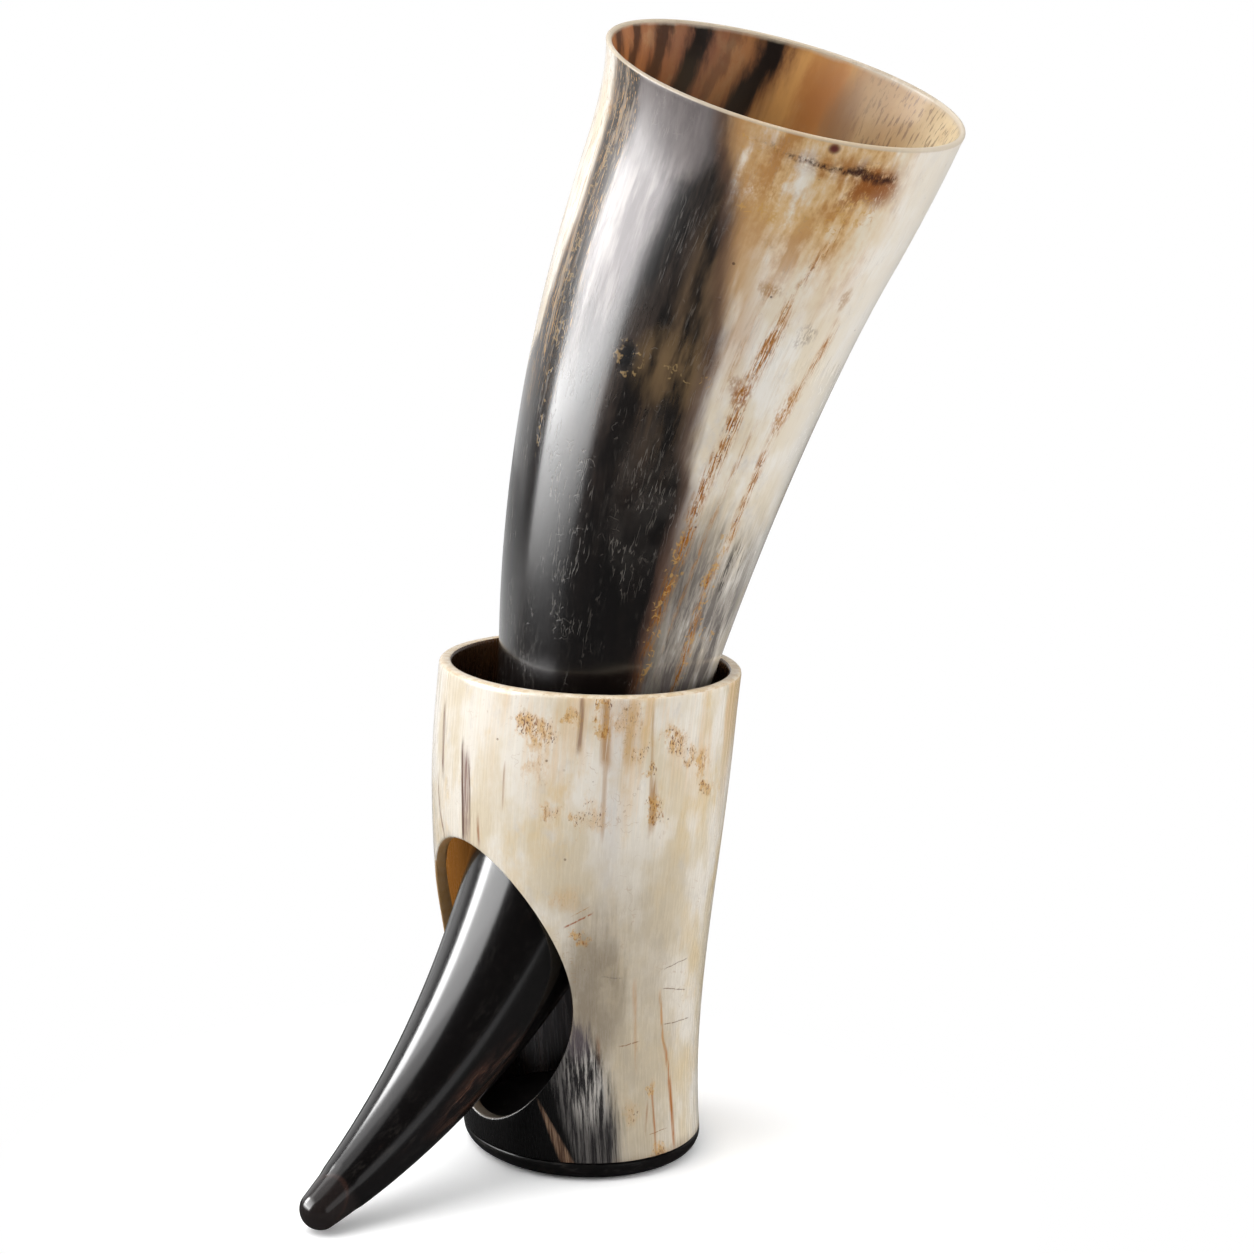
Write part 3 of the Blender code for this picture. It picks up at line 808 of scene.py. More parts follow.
def horn_outside():
    """Outside of the cup: ivory on the right, a dark band in front, black towards the tip."""
    finish = Finish(bpy.data.materials.new("horn_outside"))
    finish.place()
    finish.grow()
    turn, length, marble = finish.turn, finish.height, finish.marble
    colour = back_side(finish, pale_side(finish))
    colour = growth_lines(finish, colour)
    colour, dark = dark_front(finish, colour)
    colour, tip, seam = black_tip(finish, colour)

    # Golden hairs in clusters, and fine grey scratches all over the dark part
    field = None
    for centre, size, strength in HORN_HAIRS:
        near = finish.spot(finish.sway_turn, finish.sway_length, centre, size) * strength
        field = near if field is None else field.math("MAXIMUM", near)
    gold = finish.hairs(620.0, 500.0, 0.075, 9.0) * finish.smooth(field, 0.1, 0.5)
    colour = finish.mix(gold * 0.6, colour, finish.mix(dark, tone(208, 160, 84), tone(170, 140, 92)))
    haze = finish.spot(turn + finish.ripple * 0.5, length + finish.ripple, (4.0, 203.0), (24.0, 26.0))
    haze = haze * dark
    colour = finish.mix(haze * finish.smooth(marble, 0.35, 0.65) * 0.3, colour, tone(88, 82, 77))
    scratch = finish.hairs(1300.0, 80.0, 0.06, 13.0) * (finish.smooth(finish.cloud, 0.44, 0.60) + haze)
    crossed = finish.hairs(420.0, 330.0, 0.03, 23.0) * finish.smooth(marble, 0.5, 0.62)
    worn = (scratch + crossed * 0.8) * (1.0 - tip * 0.8)
    colour = finish.mix(worn * 0.16, colour, GREY)

    # Knot with a dark heart in the band, and pores on the pale side
    stray = (marble - 0.5) * 5.0
    knot = finish.spot(turn + stray, length + stray, (-19.5, 235.5), (4.0, 5.0))
    colour = finish.mix(knot * (1.0 - gold), colour, BLACK)
    pore = finish.pores(0.0055, 0.09, 0.55, 4.0) * (1.0 - dark) * (1.0 - tip)
    colour = finish.mix(pore * 0.8, colour, BROWN)

    # Scar under the lip, with a small red spot above it, and the pale rounded lip
    crease = abs(length - finish.trace(turn, SCAR_LINE) + stray)
    heavy = finish.trace(turn, SCAR_WEIGHT)
    blot = finish.noise(420.0, 520.0, 4.0, 0.7, 37.0)
    rusty = finish.smooth(crease, 5.0, 0.0) * heavy * finish.smooth(blot, 0.3, 0.55)
    colour = finish.mix(rusty * 0.8, colour, RUST)
    scar = finish.smooth(crease - heavy * 1.1 - (blot - 0.5) * 3.0, 0.8, -0.8)
    scar = scar * finish.smooth(heavy, 0.05, 0.6) * finish.smooth(finish.speck + heavy * 0.30, 0.50, 0.85)
    colour = finish.mix(scar, colour, tone(66, 34, 20))
    colour = finish.mix(finish.spot(turn, length, (19.5, 305.0), (2.4, 1.7)), colour, tone(104, 40, 32))
    lip = finish.smooth(length, 306.0, 306.5)
    colour = finish.mix(lip * 0.8, colour, tone(206, 190, 166))

    low = finish.smooth(length + finish.ripple * 0.5, 270.0, 205.0)
    roughness = 0.32 - low * 0.14 + tip * 0.01 + (finish.fibre - 0.5) * 0.10 + worn * 0.1
    relief = finish.fibre * 0.3 + finish.streak * 0.8 - worn * 0.5 + gold * 0.6 - knot * 2.0 - pore
    relief = relief * (1.0 - tip * 0.7) - finish.smooth(seam, 0.6, 0.1) * tip * 0.4
    return finish.done(colour, roughness, relief, 0.00003, 0.20 + low * 0.5)


# Dark stripes in the horn's mouth: turn from the back in degrees at the lip, width, strength
MOUTH_STRIPES = (
    (-104, 3.0, 0.6),
    (-84, 3.5, 0.7),
    (-68, 2.5, 0.7),
    (-53, 4.0, 0.75),
    (-36, 4.6, 1.0),
    (-24, 2.2, 0.35),
    (-10, 5.0, 1.0),
)


def horn_inside():
    """Inside of the cup: amber with dark stripes on the left, orange behind, cream on the right."""
    finish = Finish(bpy.data.materials.new("horn_inside"))
    finish.place()
    finish.grow()
    back, length = finish.back, finish.height
    sway = (finish.streak - 0.5) * 12.0 + (finish.cloud - 0.5) * 8.0
    leaning = back - (length - 300.0) * 0.4
    near_side = finish.smooth(abs(back) + sway * 2.0, 112.0, 150.0)
    colour = finish.mix(finish.smooth(leaning + sway, -30.0, -2.0), tone(170, 108, 62), tone(214, 158, 90))
    colour = finish.mix(finish.smooth(back + sway, 14.0, 34.0), colour, tone(176, 140, 92))
    colour = finish.mix(finish.smooth(back + sway, 44.0, 78.0), colour, tone(226, 206, 168))
    brindle = finish.mix(finish.smooth(finish.veil, 0.35, 0.6), UMBER, tone(140, 88, 50))
    colour = finish.mix(near_side, colour, brindle)
    colour = finish.mix(finish.smooth(finish.marble, 0.50, 0.70) * 0.35, colour, tone(200, 164, 112))
    colour = finish.mix(finish.smooth(finish.cloud, 0.5, 0.72) * 0.4, colour, tone(170, 122, 76))
    smudge = finish.spot(back + sway * 0.8, length, (13.0, 297.0), (11.0, 14.0))
    colour = finish.mix(smudge * 0.7, colour, tone(170, 98, 36))
    brown = finish.spot(back + sway * 0.5, length, (24.0, 294.0), (8.0, 14.0))
    colour = finish.mix(brown * 0.7, colour, tone(140, 100, 64))
    for centre, width, strength in MOUTH_STRIPES:
        side = abs(leaning - centre + sway * 0.8)
        halo = finish.smooth(side, width * 2.6, width * 0.8) * strength
        colour = finish.mix(halo * 0.75, colour, tone(108, 58, 32))
        stripe = finish.smooth(side, width * 1.5, width * 0.5) * strength
        colour = finish.mix(stripe, colour, tone(28, 18, 14))
    # Painted shade: darker deep in the mouth on its left, where the left wall shades it.
    painted_shade_deep = finish.smooth(length + sway * 0.5, 299.0, 276.0) * finish.smooth(back + sway, 6.0, -30.0)
    colour = finish.mix(painted_shade_deep * 0.6, colour, tone(62, 40, 28))
    dash = finish.noise(1100.0, 130.0, 3.0, 0.6, 6.0)
    dashes = finish.smooth(dash, 0.52, 0.64) * finish.band(back, 30.0, 120.0, 12.0)
    colour = finish.mix(dashes * 0.65, colour, tone(112, 80, 54))
    colour = finish.mix(finish.smooth(length + sway, 268.0, 215.0), colour, UMBER)
    colour = finish.mix(finish.smooth(length, 225.0, 150.0), colour, BLACK)
    rim = finish.smooth(length + (finish.marble - 0.5) * 1.5, 305.4, 306.6)
    colour = finish.mix(rim * 0.75, colour, tone(206, 190, 166))
    relief = finish.fibre * 0.5 + finish.streak * 0.6
    return finish.done(colour, 0.34 + finish.fibre * 0.15, relief, 0.00004, 0.1)


# Streaks on the sleeve: (height in mm, turn) points from low to high, width in degrees, strength, colour
STAND_STREAKS = (
    (((107, 8.5), (116, 7.5), (125, 6)), 2.4, 0.85, TAN),
    (((90, 9.5), (107, 8.5)), 1.0, 0.5, TAN),
    (((112, -1.5), (119, -1.5), (126, -2.5)), 1.2, 0.75, tone(134, 94, 74)),
    (((84, -46.5), (95, -47), (107, -48)), 2.4, 0.95, tone(146, 116, 108)),
    (((84, -48.5), (95, -49), (108, -50.5)), 0.7, 1.0, tone(96, 62, 48)),
    (((88, -44.5), (98, -45), (104, -46)), 0.5, 0.8, tone(104, 72, 60)),
    (((100, -64.5), (109, -65.5), (116, -66.5)), 1.4, 0.9, tone(120, 78, 56)),
    (((84, -63), (89, -66.5), (97, -69.5)), 0.9, 0.8, tone(130, 86, 62)),
    (((85, -40), (91, -40.5)), 0.8, 0.9, RUST),
    (((92, 29), (96, 29), (104, 28)), 1.7, 0.9, TAN),
    (((92, 28), (107, 26.5), (122, 24.5)), 0.7, 0.6, TAN),
    (((108, 17), (116, 16.5), (124, 16)), 2.8, 0.6, tone(200, 158, 98)),
    (((25, 48.5), (31, 46.5), (36, 43.5), (48, 40)), 1.0, 0.8, AMBER),
    (((6, 51.5), (15, 50.5), (25, 48.5), (33, 45.5)), 1.5, 1.0, tone(176, 108, 44)),
    (((6, 39), (12, 39), (24, 37.5)), 0.8, 0.9, tone(176, 112, 52)),
    (((12, 33.5), (19, 35)), 0.7, 0.6, RUST),
    (((28, 11), (38, 11)), 1.2, 0.8, tone(140, 98, 64)),
    (((30, 29), (52, 27)), 1.2, 0.45, AMBER),
    (((96, -29), (106, -29)), 0.5, 0.6, RUST),
)
# Golden stains with dark specks in them: middle as (turn, height), size, strength, darkness of the specks
STAND_STAINS = (
    ((-20.5, 117.0), (7, 4.5), 1.0, 1.0),
    ((-15, 114.5), (7, 4.0), 0.9, 0.8),
    ((-16, 108.5), (5, 6.0), 0.5, 0.2),
    ((-5.5, 120), (3, 2.6), 0.9, 0.4),
    ((5.5, 124), (2.2, 2.0), 1.0, 1.0),
    ((7.0, 118), (3.6, 5.0), 1.0, 0.4),
    ((15.5, 121), (6, 6), 0.6, 0.5),
    ((20.5, 112), (8, 3), 0.5, 0.9),
    ((36, 113.5), (6, 4.6), 1.0, 1.0),
    ((44, 110), (5, 3.5), 0.8, 1.0),
    ((51, 106), (4, 6.0), 0.9, 0.5),
    ((56, 99.5), (5, 3.0), 0.9, 1.0),
    ((26.5, 106), (2.8, 1.8), 0.8, 1.0),
    ((29, 96), (3.2, 5.0), 1.0, 0.8),
    ((-10.5, 97), (4, 2.6), 0.7, 0.6),
    ((5.5, 95.5), (8, 5), 0.6, 0.9),
    ((0.5, 93), (2, 4.0), 0.5, 0.9),
    ((4.5, 64.5), (3.4, 2.2), 0.9, 0.9),
    ((-3, 74), (9, 4.0), 0.4, 0.2),
    ((37.5, 23), (3.0, 2.4), 0.9, 0.9),
    ((26, 17), (6, 4.0), 0.4, 0.8),
    ((42, 6.0), (7, 2.4), 0.9, 1.0),
)
# Fine scratches across the sleeve: two ends as (turn, height), half width in mm, colour
STAND_SCRATCHES = (
    ((-3.0, 67.2), (7.5, 71.2), 0.26, tone(160, 84, 34)),
    ((0.0, 70.4), (6.0, 72.8), 0.12, TAN),
    ((42.0, 54.4), (56.0, 55.4), 0.14, tone(120, 88, 58)),
    ((42.0, 49.2), (57.0, 46.9), 0.14, tone(120, 88, 58)),
    ((44.0, 39.6), (62.0, 38.6), 0.15, tone(120, 88, 58)),
    ((21.0, 35.8), (30.0, 36.2), 0.16, tone(140, 92, 54)),
    ((12.5, 54.4), (20.5, 53.8), 0.16, tone(132, 122, 110)),
    ((36.0, 11.0), (46.0, 11.6), 0.12, tone(150, 96, 54)),
)


def sleeve_ground(finish):
    """Ivory with cream and pearl clouds, fine fibres, honey near the rim and brown streaks behind."""
    turn, height = finish.turn, finish.height
    colour = finish.mix(finish.smooth(finish.cloud, 0.38, 0.60), tone(226, 211, 184), tone(242, 234, 221))
    blotch = finish.noise(95.0, 55.0, 5.0, 0.65, 27.0)
    upper = finish.smooth(height + (finish.marble - 0.5) * 40.0, 80.0, 108.0)
    warm = finish.smooth(blotch - upper * 0.06, 0.48, 0.64) * (upper * 0.3 + 0.4)
    colour = finish.mix(warm, colour, tone(226, 198, 146))
    colour = finish.mix(finish.smooth(finish.marble, 0.54, 0.70) * 0.5, colour, tone(213, 206, 199))
    colour = finish.mix(finish.smooth(finish.grain, 0.54, 0.78) * 0.07, colour, SAND)
    grey = finish.smooth(height + finish.ripple * 0.5, 100.0, 66.0) * finish.band(turn, -6.0, 50.0, 18.0)
    grey = grey * (finish.smooth(finish.marble, 0.3, 0.65) * 0.35 + 0.45)
    colour = finish.mix(grey, colour, tone(188, 174, 151))
    dusk = finish.spot(turn + finish.ripple * 0.4, height + finish.ripple * 0.8, (9.0, 50.0), (18.0, 26.0))
    dusk = dusk * (finish.smooth(finish.marble, 0.3, 0.6) * 0.4 + 0.5)
    colour = finish.mix(dusk, colour, tone(150, 136, 117))
    high = finish.smooth(height + (finish.cloud - 0.5) * 60.0, 84.0, 120.0)
    high = high * finish.band(turn, -33.0, 140.0, 11.0)
    honeyed = finish.smooth(finish.veil + (finish.fibre - 0.5) * 0.2, 0.42, 0.66)
    colour = finish.mix(high * honeyed * 0.6, colour, HONEY)
    ash = finish.band(turn + finish.ripple * 0.1, 9.0, 16.0, 4.0)
    ash = ash * finish.smooth(height + finish.ripple, 60.0, 90.0)
    colour = finish.mix(ash * 0.6, colour, tone(220, 214, 208))
    broad = finish.noise(45.0, 7.0, 3.0, 0.5, 12.0) + (finish.grain - 0.5) * 0.4
    behind = finish.smooth(abs(turn), 86.0, 118.0)
    for level, shade in ((0.48, tone(158, 124, 88)), (0.60, BROWN)):
        colour = finish.mix(behind * finish.smooth(broad, level, level + 0.15) * 0.8, colour, shade)
    return colour


def sleeve_marks(finish, colour):
    """Streaks, golden stains with dark specks, and fine scratches."""
    turn, height, marble = finish.turn, finish.height, finish.marble
    for points, width, strength, shade in STAND_STREAKS:
        side = abs(turn - finish.trace(height, points) + (finish.streak - 0.5) * 2.0)
        line = finish.smooth(side, width * 1.3, width * 0.1)
        line = line * finish.band(height + (marble - 0.5) * 8.0, points[0][0], points[-1][0], 2.5)
        line = line * finish.smooth(finish.fibre + (finish.cloud - 0.5) * 0.5, 0.25, 0.55) * strength
        colour = finish.mix(line, colour, shade)
    dents = None
    ragged = finish.noise(330.0, 210.0, 5.0, 0.7, 33.0)
    dust = finish.noise(2600.0, 1300.0, 2.0, 0.5, 29.0)
    ragged_turn = turn + (ragged - 0.5) * 26.0
    ragged_height = height + (marble - 0.5) * 14.0
    soft = finish.smooth(ragged + (finish.fibre - 0.5) * 0.4, 0.30, 0.62)
    for centre, size, strength, dark in STAND_STAINS:
        near = finish.spot(ragged_turn, ragged_height, centre, size) * strength
        colour = finish.mix(near * soft * 0.8, colour, tone(214, 162, 78))
        dabs = finish.smooth(finish.speck + near * 0.12, 0.62, 0.76) * near
        colour = finish.mix(dabs * 0.7, colour, tone(164, 102, 32))
        specks = finish.smooth(dust + near * 0.10, 0.66, 0.71) * finish.smooth(near, 0.05, 0.5) * dark
        colour = finish.mix(specks * 0.85, colour, tone(106, 56, 18))
        dents = specks if dents is None else dents.math("MAXIMUM", specks)
    for start, end, width, shade in STAND_SCRATCHES:
        slope = (end[1] - start[1]) / (end[0] - start[0])
        side = abs(height - start[1] - (turn - start[0]) * slope + (marble - 0.5) * 1.6)
        line = finish.smooth(side, width * 1.5, width * 0.3) * finish.band(turn, start[0], end[0], 1.2)
        colour = finish.mix(line * finish.smooth(finish.speck, 0.3, 0.5) * 0.85, colour, shade)
    return colour, dents


def black_patch(finish, colour):
    """Black foot on the left: pale fibres at its right side, and a brown wedge beside a black slash."""
    turn, height = finish.turn, finish.height
    fray = finish.noise(1700.0, 24.0, 5.0, 0.7, 21.0)
    border = finish.trace(height, ((4, 19), (14, 20), (24, 17), (32, 12), (39, 7), (47, 1)))
    side = turn - border + (fray - 0.5) * 10.0 + (finish.streak - 0.5) * 8.0
    patch = finish.smooth(side, 4.0, -4.0) * finish.smooth(turn, -165.0, -125.0)
    top = finish.trace(turn, ((-160, 8), (-115, 20), (-70, 38), (8, 43)))
    patch = patch * finish.smooth(height - top + finish.ripple * 0.5 + (fray - 0.5) * 22.0, 5.0, -7.0)
    fibres = finish.smooth(fray + (finish.streak - 0.5) * 0.4, 0.40, 0.62)
    bright = finish.spot(turn, height, (7.0, 28.0), (13.0, 17.0)) * 0.8 + 0.2
    grizzle = finish.mix(fibres * bright, tone(40, 37, 38), tone(196, 190, 183))
    purple = finish.spot(turn, height, (2.5, 40.0), (9.0, 10.0))
    grizzle = finish.mix(purple * 0.8, grizzle, tone(104, 94, 97))
    solid = finish.smooth(turn + (height - 6.0) * 0.45 + (fray - 0.5) * 8.0, 1.0, -4.0)
    colour = finish.mix(patch, colour, finish.mix(solid, grizzle, BLACK))
    lean = turn + 15.0 - (17.5 - height) * 0.75
    wedge = finish.smooth(abs(lean) / (finish.smooth(height, 24.0, 4.0) * 2.6 + 0.6), 1.3, 0.6)
    wood = finish.mix(finish.smooth(fray, 0.4, 0.6), tone(78, 54, 40), tone(152, 122, 98))
    return finish.mix(wedge * finish.smooth(height, 22.0, 17.0), colour, wood)


def sleeve_outside():
    """Outside of the sleeve: ivory with fine fibres, golden stains and a black patch at the foot."""
    finish = Finish(bpy.data.materials.new("sleeve_outside"))
    finish.place()
    finish.grow()
    colour, dents = sleeve_marks(finish, sleeve_ground(finish))
    pore = finish.pores(0.0060, 0.07, 0.55, 2.0)
    colour = finish.mix(pore * 0.7, colour, tone(124, 90, 58))
    nick = finish.hairs(520.0, 480.0, 0.03, 31.0) * finish.smooth(finish.cloud, 0.54, 0.64)
    colour = finish.mix(nick * 0.3, colour, tone(164, 122, 72))
    colour = black_patch(finish, colour)
    foot = finish.smooth(finish.height + (finish.marble - 0.5) * 8.0, 7.5, 4.5)
    foot = foot * (1.0 - finish.band(finish.turn, -146.0, 18.0, 4.0))
    colour = finish.mix(foot * 0.35, colour, tone(108, 78, 60))
    roughness = 0.27 + (finish.fibre - 0.5) * 0.14 + dents * 0.2
    relief = finish.fibre * 0.25 + finish.streak * 0.7 - dents * 0.3 - pore - nick * 0.4
    return finish.done(colour, roughness, relief, 0.00003, 0.4)


def sleeve_inside():
    """Inside of the sleeve: dark horn, browner at the rim, with a painted glow of light coming through
    beside the window and a painted reflection low inside it.
    """
    finish = Finish(bpy.data.materials.new("sleeve_inside"))
    finish.place()
    finish.grow()
    back, height = finish.back, finish.height
    colour = finish.mix(finish.smooth(finish.streak, 0.4, 0.7), tone(26, 19, 15), tone(62, 41, 27))
    rim = finish.smooth(height + (finish.streak - 0.5) * 14.0, 108.0, 125.0)
    colour = finish.mix(rim * 0.8, colour, tone(86, 57, 34))
    # Painted glow: amber and gold colour, with emission below, where light would come through the thin wall
    # beside the window.
    painted_glow_zone = finish.smooth(back + (finish.streak - 0.5) * 8.0, -44.0, -80.0)
    painted_glow_zone = painted_glow_zone * finish.smooth(back, -176.0, -140.0) * finish.band(height, 39.0, 92.0, 9.0)
    shade = finish.mix(finish.smooth(finish.cloud + (finish.streak - 0.5) * 0.5, 0.35, 0.65), AMBER, GOLD)
    colour = finish.mix(painted_glow_zone, colour, shade)
    low = finish.smooth(height + (finish.cloud - 0.5) * 20.0, 62.0, 40.0)
    low = low * finish.smooth(abs(finish.turn), 120.0, 80.0)
    colour = finish.mix(low, colour, BLACK)
    scratch = finish.hairs(420.0, 260.0, 0.06, 41.0) * finish.smooth(finish.cloud, 0.45, 0.6)
    roughness = 0.22 + finish.fibre * 0.1 + scratch * 0.15
    relief = finish.fibre * 0.4 + finish.streak * 0.8 - scratch * 0.6
    painted_glow = finish.mix(painted_glow_zone * (1.0 - low), (0.0, 0.0, 0.0, 1.0), tone(128, 82, 36))
    # Painted reflection: a faint grey emission low on the inner wall, standing in for the window's light
    # mirrored there.
    painted_sheen = finish.spot(back, height, (-22.0, 24.0), (26.0, 16.0))
    painted_sheen = painted_sheen * (finish.smooth(finish.fibre, 0.35, 0.65) * 0.4 + 0.4)
    painted_glow = finish.mix(painted_sheen, painted_glow, tone(46, 45, 46))
    return finish.done(colour, roughness, relief, 0.00004, 0.5, painted_glow)


def sleeve_edges():
    """Cut edges of the sleeve: pale end grain, painted amber glow at the window's left edge, dark where the
    black patch is cut, near black at the foot.
    """
    finish = Finish(bpy.data.materials.new("sleeve_edges"))
    finish.place()
    grain = finish.noise(500.0, 500.0, 4.0, 0.6, 3.0)
    ring = finish.noise(1800.0, 300.0, 3.0, 0.5, 5.0)
    colour = finish.mix(finish.smooth(grain, 0.35, 0.65), tone(214, 190, 154), tone(234, 220, 198))
    colour = finish.mix(finish.smooth(ring, 0.55, 0.7) * 0.4, colour, tone(184, 142, 98))
    # Painted glow: amber on the window's left cut edge, going with the painted glow on the inner wall
    # beside it.
    painted_glow_edge = finish.smooth(finish.turn, -56.0, -66.0) * finish.smooth(finish.height, 100.0, 88.0)
    colour = finish.mix(painted_glow_edge * 0.8, colour, tone(196, 146, 82))
    low = finish.smooth(finish.height + (grain - 0.5) * 20.0, 46.0, 30.0)
    low = low * finish.smooth(finish.turn, 18.0, 4.0)
    colour = finish.mix(low * 0.85, colour, tone(60, 54, 50))
    foot = finish.smooth(finish.height, 9.0, 7.0)
    colour = finish.mix(foot, colour, tone(24, 20, 18))
    return finish.done(colour, 0.26 + grain * 0.12, ring + grain * 0.5, 0.00003, 0.4)


def base_black():
    """Black base disc with faint brown fibres and fine scratches."""
    finish = Finish(bpy.data.materials.new("base_black"))
    finish.place()
    fibre = finish.noise(420.0, 160.0, 4.0, 0.6, 2.0)
    scratch = finish.hairs(220.0, 900.0, 0.05, 4.0)
    colour = finish.mix(finish.smooth(fibre, 0.5, 0.75), BLACK, tone(32, 26, 23))
    colour = finish.mix(scratch * 0.15, colour, SLATE)
    return finish.done(colour, 0.28 + fibre * 0.14 + scratch * 0.1, fibre - scratch * 0.6, 0.00003, 0.3)


# Camera, floor and surround of the studio; a brightness of 1 is white
CAMERA_PLACE = Vector((0.0, -0.650, 0.26845))
CAMERA_PITCH = math.radians(11.660)
CAMERA_YAW = math.radians(0.496)
CAMERA_ROLL = math.radians(2.5)
FOCAL_PIXELS = 2675.3
PHOTO_PIXELS = 1254.0
SENSOR_WIDTH = 36.0
FLOOR_SIZE = 3.0
FLOOR_DROP = 0.0001
FLOOR_WHITE = 1.25
FLOOR_BOUNCE = 0.55
FLOOR_MIRRORED = 0.05
FLOOR_MIRRORED_BEHIND = 0.6
SHADOW_MIDDLE = (-0.015, -0.025, 0.0)
AMBIENT = 0.36
BACKDROP_LEFT = 0.7
BACKDROP_RIGHT = 0.3
ROOM_DARK = 0.015
SHADOW_REACH = (0.055, 0.13)

# The left light: a leaning scrim that lights the object, and what mirrors show of it, which is rows
# up the scrim and rows from it down to the floor, each as its middle and its height in metres and
# its brightness, and a bright stretch at the scrim's rear
SCRIM_PLACE = Vector((-0.669, -0.158, 0.846))
SCRIM_AIM = Vector((0.102, 0.006, 0.230))
SCRIM_SIZE = (1.13, 1.57)
SCRIM_BRIGHTNESS = 2.7
SCRIM_GAP = 0.015
SCRIM_ROW_WIDTH = 1.06
SCRIM_ROWS = (
    (-0.665, 0.24, 6.0),
    (-0.435, 0.22, 4.6),
    (-0.225, 0.20, 3.6),
    (-0.015, 0.22, 1.6),
    (0.345, 0.50, 0.6),
)
REAR_GAP = 0.021
REAR_BELOW = 0.42
REAR_ASIDE = 0.365
REAR_SIZE = (0.33, 0.50)
REAR_BRIGHTNESS = 9.0
LOW_PLACE = Vector((-1.15, -0.22, 0.0))
LOW_FACING = Vector((1.0, 0.19, 0.0))
LOW_ROW_WIDTH = 1.05
LOW_ROWS = ((0.190, 0.07, 12.0), (0.130, 0.05, 5.6), (0.080, 0.05, 4.2), (0.030, 0.05, 2.2))
# Fill lights: name, place, aim, width, height, brightness, and whether mirrors show them
FILLS = (
    ("right_softbox", (0.95, -0.90, 0.30), (0.0, 0.0, 0.15), 0.5, 0.6, 0.5, True),
    ("right_fill", (1.05, 0.0, 0.36), (0.0, 0.0, 0.20), 1.2, 0.5, 4.0, False),
    ("top_softbox", (0.0, -0.25, 1.5), (0.0, 0.0, 0.0), 1.6, 1.6, 0.8, False),
)


def place_camera():
    """Camera where the photograph was taken from."""
    data = bpy.data.cameras.new("camera")
    data.sensor_width = SENSOR_WIDTH
    data.lens = SENSOR_WIDTH * FOCAL_PIXELS / PHOTO_PIXELS
    camera = bpy.data.objects.new("camera", data)
    bpy.context.scene.collection.objects.link(camera)
    ahead = Vector(
        (
            math.sin(CAMERA_YAW) * math.cos(CAMERA_PITCH),
            math.cos(CAMERA_YAW) * math.cos(CAMERA_PITCH),
            -math.sin(CAMERA_PITCH),
        )
    )
    level = Vector((math.cos(CAMERA_YAW), -math.sin(CAMERA_YAW), 0.0))
    above = level.cross(ahead)
    right = level * math.cos(CAMERA_ROLL) + above * math.sin(CAMERA_ROLL)
    top = above * math.cos(CAMERA_ROLL) - level * math.sin(CAMERA_ROLL)
    turned_to = Matrix((right, top, -ahead)).transposed().to_4x4()
    camera.matrix_world = Matrix.Translation(CAMERA_PLACE) @ turned_to
    bpy.context.scene.camera = camera


def softbox(name, place, aim, width, height, brightness):
    """Rectangular light that faces a point; brightness is what a mirror would show, 1 being white."""
    data = bpy.data.lights.new(name, "AREA")
    data.shape = "RECTANGLE"
    data.size = width
    data.size_y = height
    data.energy = brightness * math.pi * width * height
    light = bpy.data.objects.new(name, data)
    bpy.context.scene.collection.objects.link(light)
    light.location = place
    light.rotation_euler = (Vector(aim) - Vector(place)).to_track_quat("-Z", "Y").to_euler()
    return light


def mirrored_panel(name, centre, facing, width, height, brightness):
    """Light that only mirrors show."""
    panel = softbox(name, centre, centre + facing, width, height, brightness)
    panel.visible_diffuse = False


def light_studio():
    """Tall scrim leaning over the left side, the panels that mirrors show in its place, and soft fill."""
    scrim = softbox("left_scrim", SCRIM_PLACE, SCRIM_AIM, *SCRIM_SIZE, SCRIM_BRIGHTNESS)
    scrim.visible_glossy = False
    facing = (SCRIM_AIM - SCRIM_PLACE).normalized()
    rearward = UP.cross(facing).normalized()
    upward = facing.cross(rearward)
    for row, (middle, height, brightness) in enumerate(SCRIM_ROWS):
        centre = SCRIM_PLACE + upward * middle + facing * SCRIM_GAP
        mirrored_panel(f"scrim_row_{row}", centre, facing, SCRIM_ROW_WIDTH, height, brightness)
    centre = SCRIM_PLACE - upward * REAR_BELOW + rearward * REAR_ASIDE + facing * REAR_GAP
    mirrored_panel("scrim_rear", centre, facing, *REAR_SIZE, REAR_BRIGHTNESS)
    for row, (middle, height, brightness) in enumerate(LOW_ROWS):
        centre = LOW_PLACE + UP * middle
        mirrored_panel(f"low_row_{row}", centre, LOW_FACING, LOW_ROW_WIDTH, height, brightness)
    for name, place, aim, width, height, brightness, shown in FILLS:
        softbox(name, place, aim, width, height, brightness).visible_glossy = shown


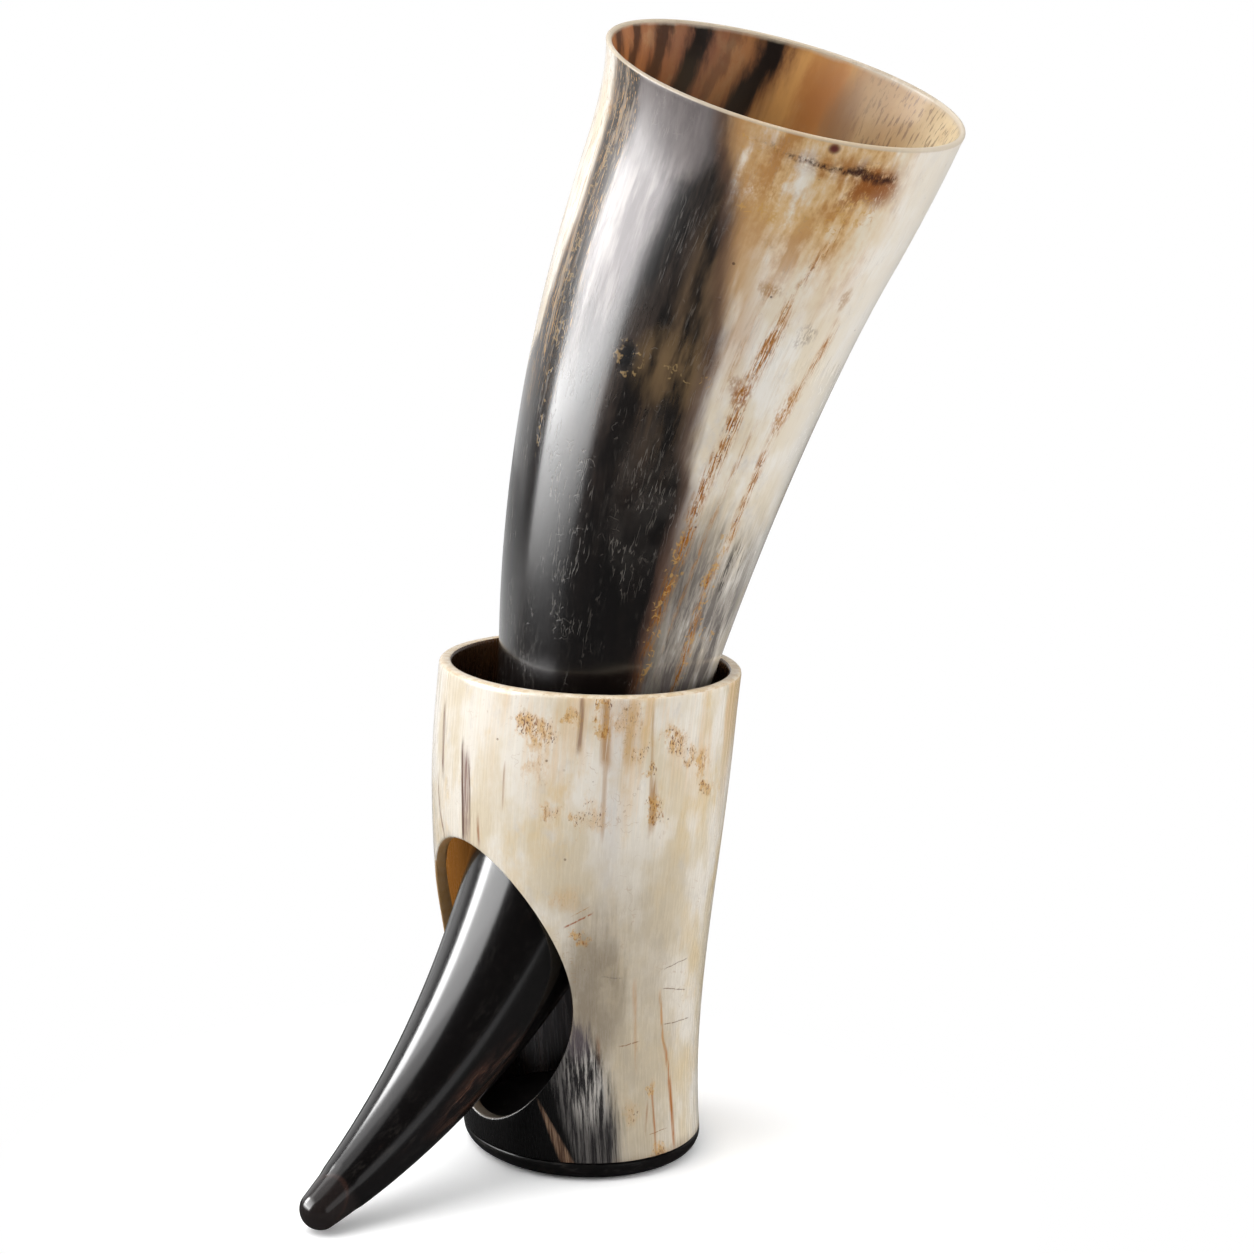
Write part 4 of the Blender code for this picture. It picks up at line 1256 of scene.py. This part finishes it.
def surround_studio():
    """White surround for the camera; dark room in front and white backdrop behind in reflections."""
    surround = Finish(bpy.data.worlds.new("studio"))
    bpy.context.scene.world = surround.owner
    heading = surround.node("ShaderNodeTexCoord", {}, {}, "Generated")
    depth = surround.node("ShaderNodeSeparateXYZ", {}, [heading], 1)
    aside = surround.node("ShaderNodeSeparateXYZ", {}, [heading], 0)
    seen = surround.node("ShaderNodeLightPath", {}, {}, "Is Camera Ray")
    mirrored = surround.node("ShaderNodeLightPath", {}, {}, "Is Glossy Ray")
    leftward = surround.smooth(aside, 0.4, -0.4) * (BACKDROP_LEFT - BACKDROP_RIGHT) + BACKDROP_RIGHT
    backdrop = surround.smooth(depth, 0.35, 0.65) * leftward + ROOM_DARK
    level = mirrored * (backdrop - AMBIENT) + AMBIENT
    level = seen * (1.0 - level) + level
    light = surround.node("ShaderNodeBackground", {}, {"Color": (1.0, 1.0, 1.0, 1.0), "Strength": level})
    surround.node("ShaderNodeOutputWorld", {}, {"Surface": light})


def lay_floor():
    """White floor that keeps the object's shadow and runs out into the white surround."""
    work = bmesh.new()
    bmesh.ops.create_grid(work, x_segments=1, y_segments=1, size=FLOOR_SIZE / 2.0)
    bmesh.ops.translate(work, verts=work.verts, vec=(0.0, 0.0, -FLOOR_DROP))
    mesh = bpy.data.meshes.new("floor")
    work.to_mesh(mesh)
    work.free()
    floor = bpy.data.objects.new("floor", mesh)
    bpy.context.scene.collection.objects.link(floor)
    finish = Finish(bpy.data.materials.new("floor"))
    spot = finish.node("ShaderNodeTexCoord", {}, {}, "Object")
    far = finish.node("ShaderNodeVectorMath", {"operation": "DISTANCE"}, [spot, SHADOW_MIDDLE], "Value")
    seen = finish.node("ShaderNodeLightPath", {}, {}, "Is Camera Ray")
    mirrored = finish.node("ShaderNodeLightPath", {}, {}, "Is Glossy Ray")
    behind = finish.smooth(finish.node("ShaderNodeSeparateXYZ", {}, [spot], 1), 0.10, 0.45)
    behind = behind * finish.smooth(finish.node("ShaderNodeSeparateXYZ", {}, [spot], 0), 0.3, -0.3)
    image = finish.mix(behind, (FLOOR_MIRRORED,) * 3 + (1.0,), (FLOOR_MIRRORED_BEHIND,) * 3 + (1.0,))
    colour = finish.mix(mirrored, (FLOOR_BOUNCE,) * 3 + (1.0,), image)
    colour = finish.mix(seen, colour, (FLOOR_WHITE,) * 3 + (1.0,))
    matt = finish.node("ShaderNodeBsdfDiffuse", {}, {"Color": colour})
    white = finish.node("ShaderNodeEmission", {}, {"Strength": 1.0})
    share = finish.smooth(far, *SHADOW_REACH) * seen
    surface = finish.node("ShaderNodeMixShader", {}, [share, matt, white])
    finish.node("ShaderNodeOutputMaterial", {}, {"Surface": surface})
    mesh.materials.append(finish.owner)


make_horn([horn_outside(), horn_inside()])
make_sleeve([sleeve_outside(), sleeve_inside(), sleeve_edges()])
make_base([base_black()])
place_camera()
light_studio()
surround_studio()
lay_floor()
bpy.context.scene.view_settings.view_transform = "Standard"
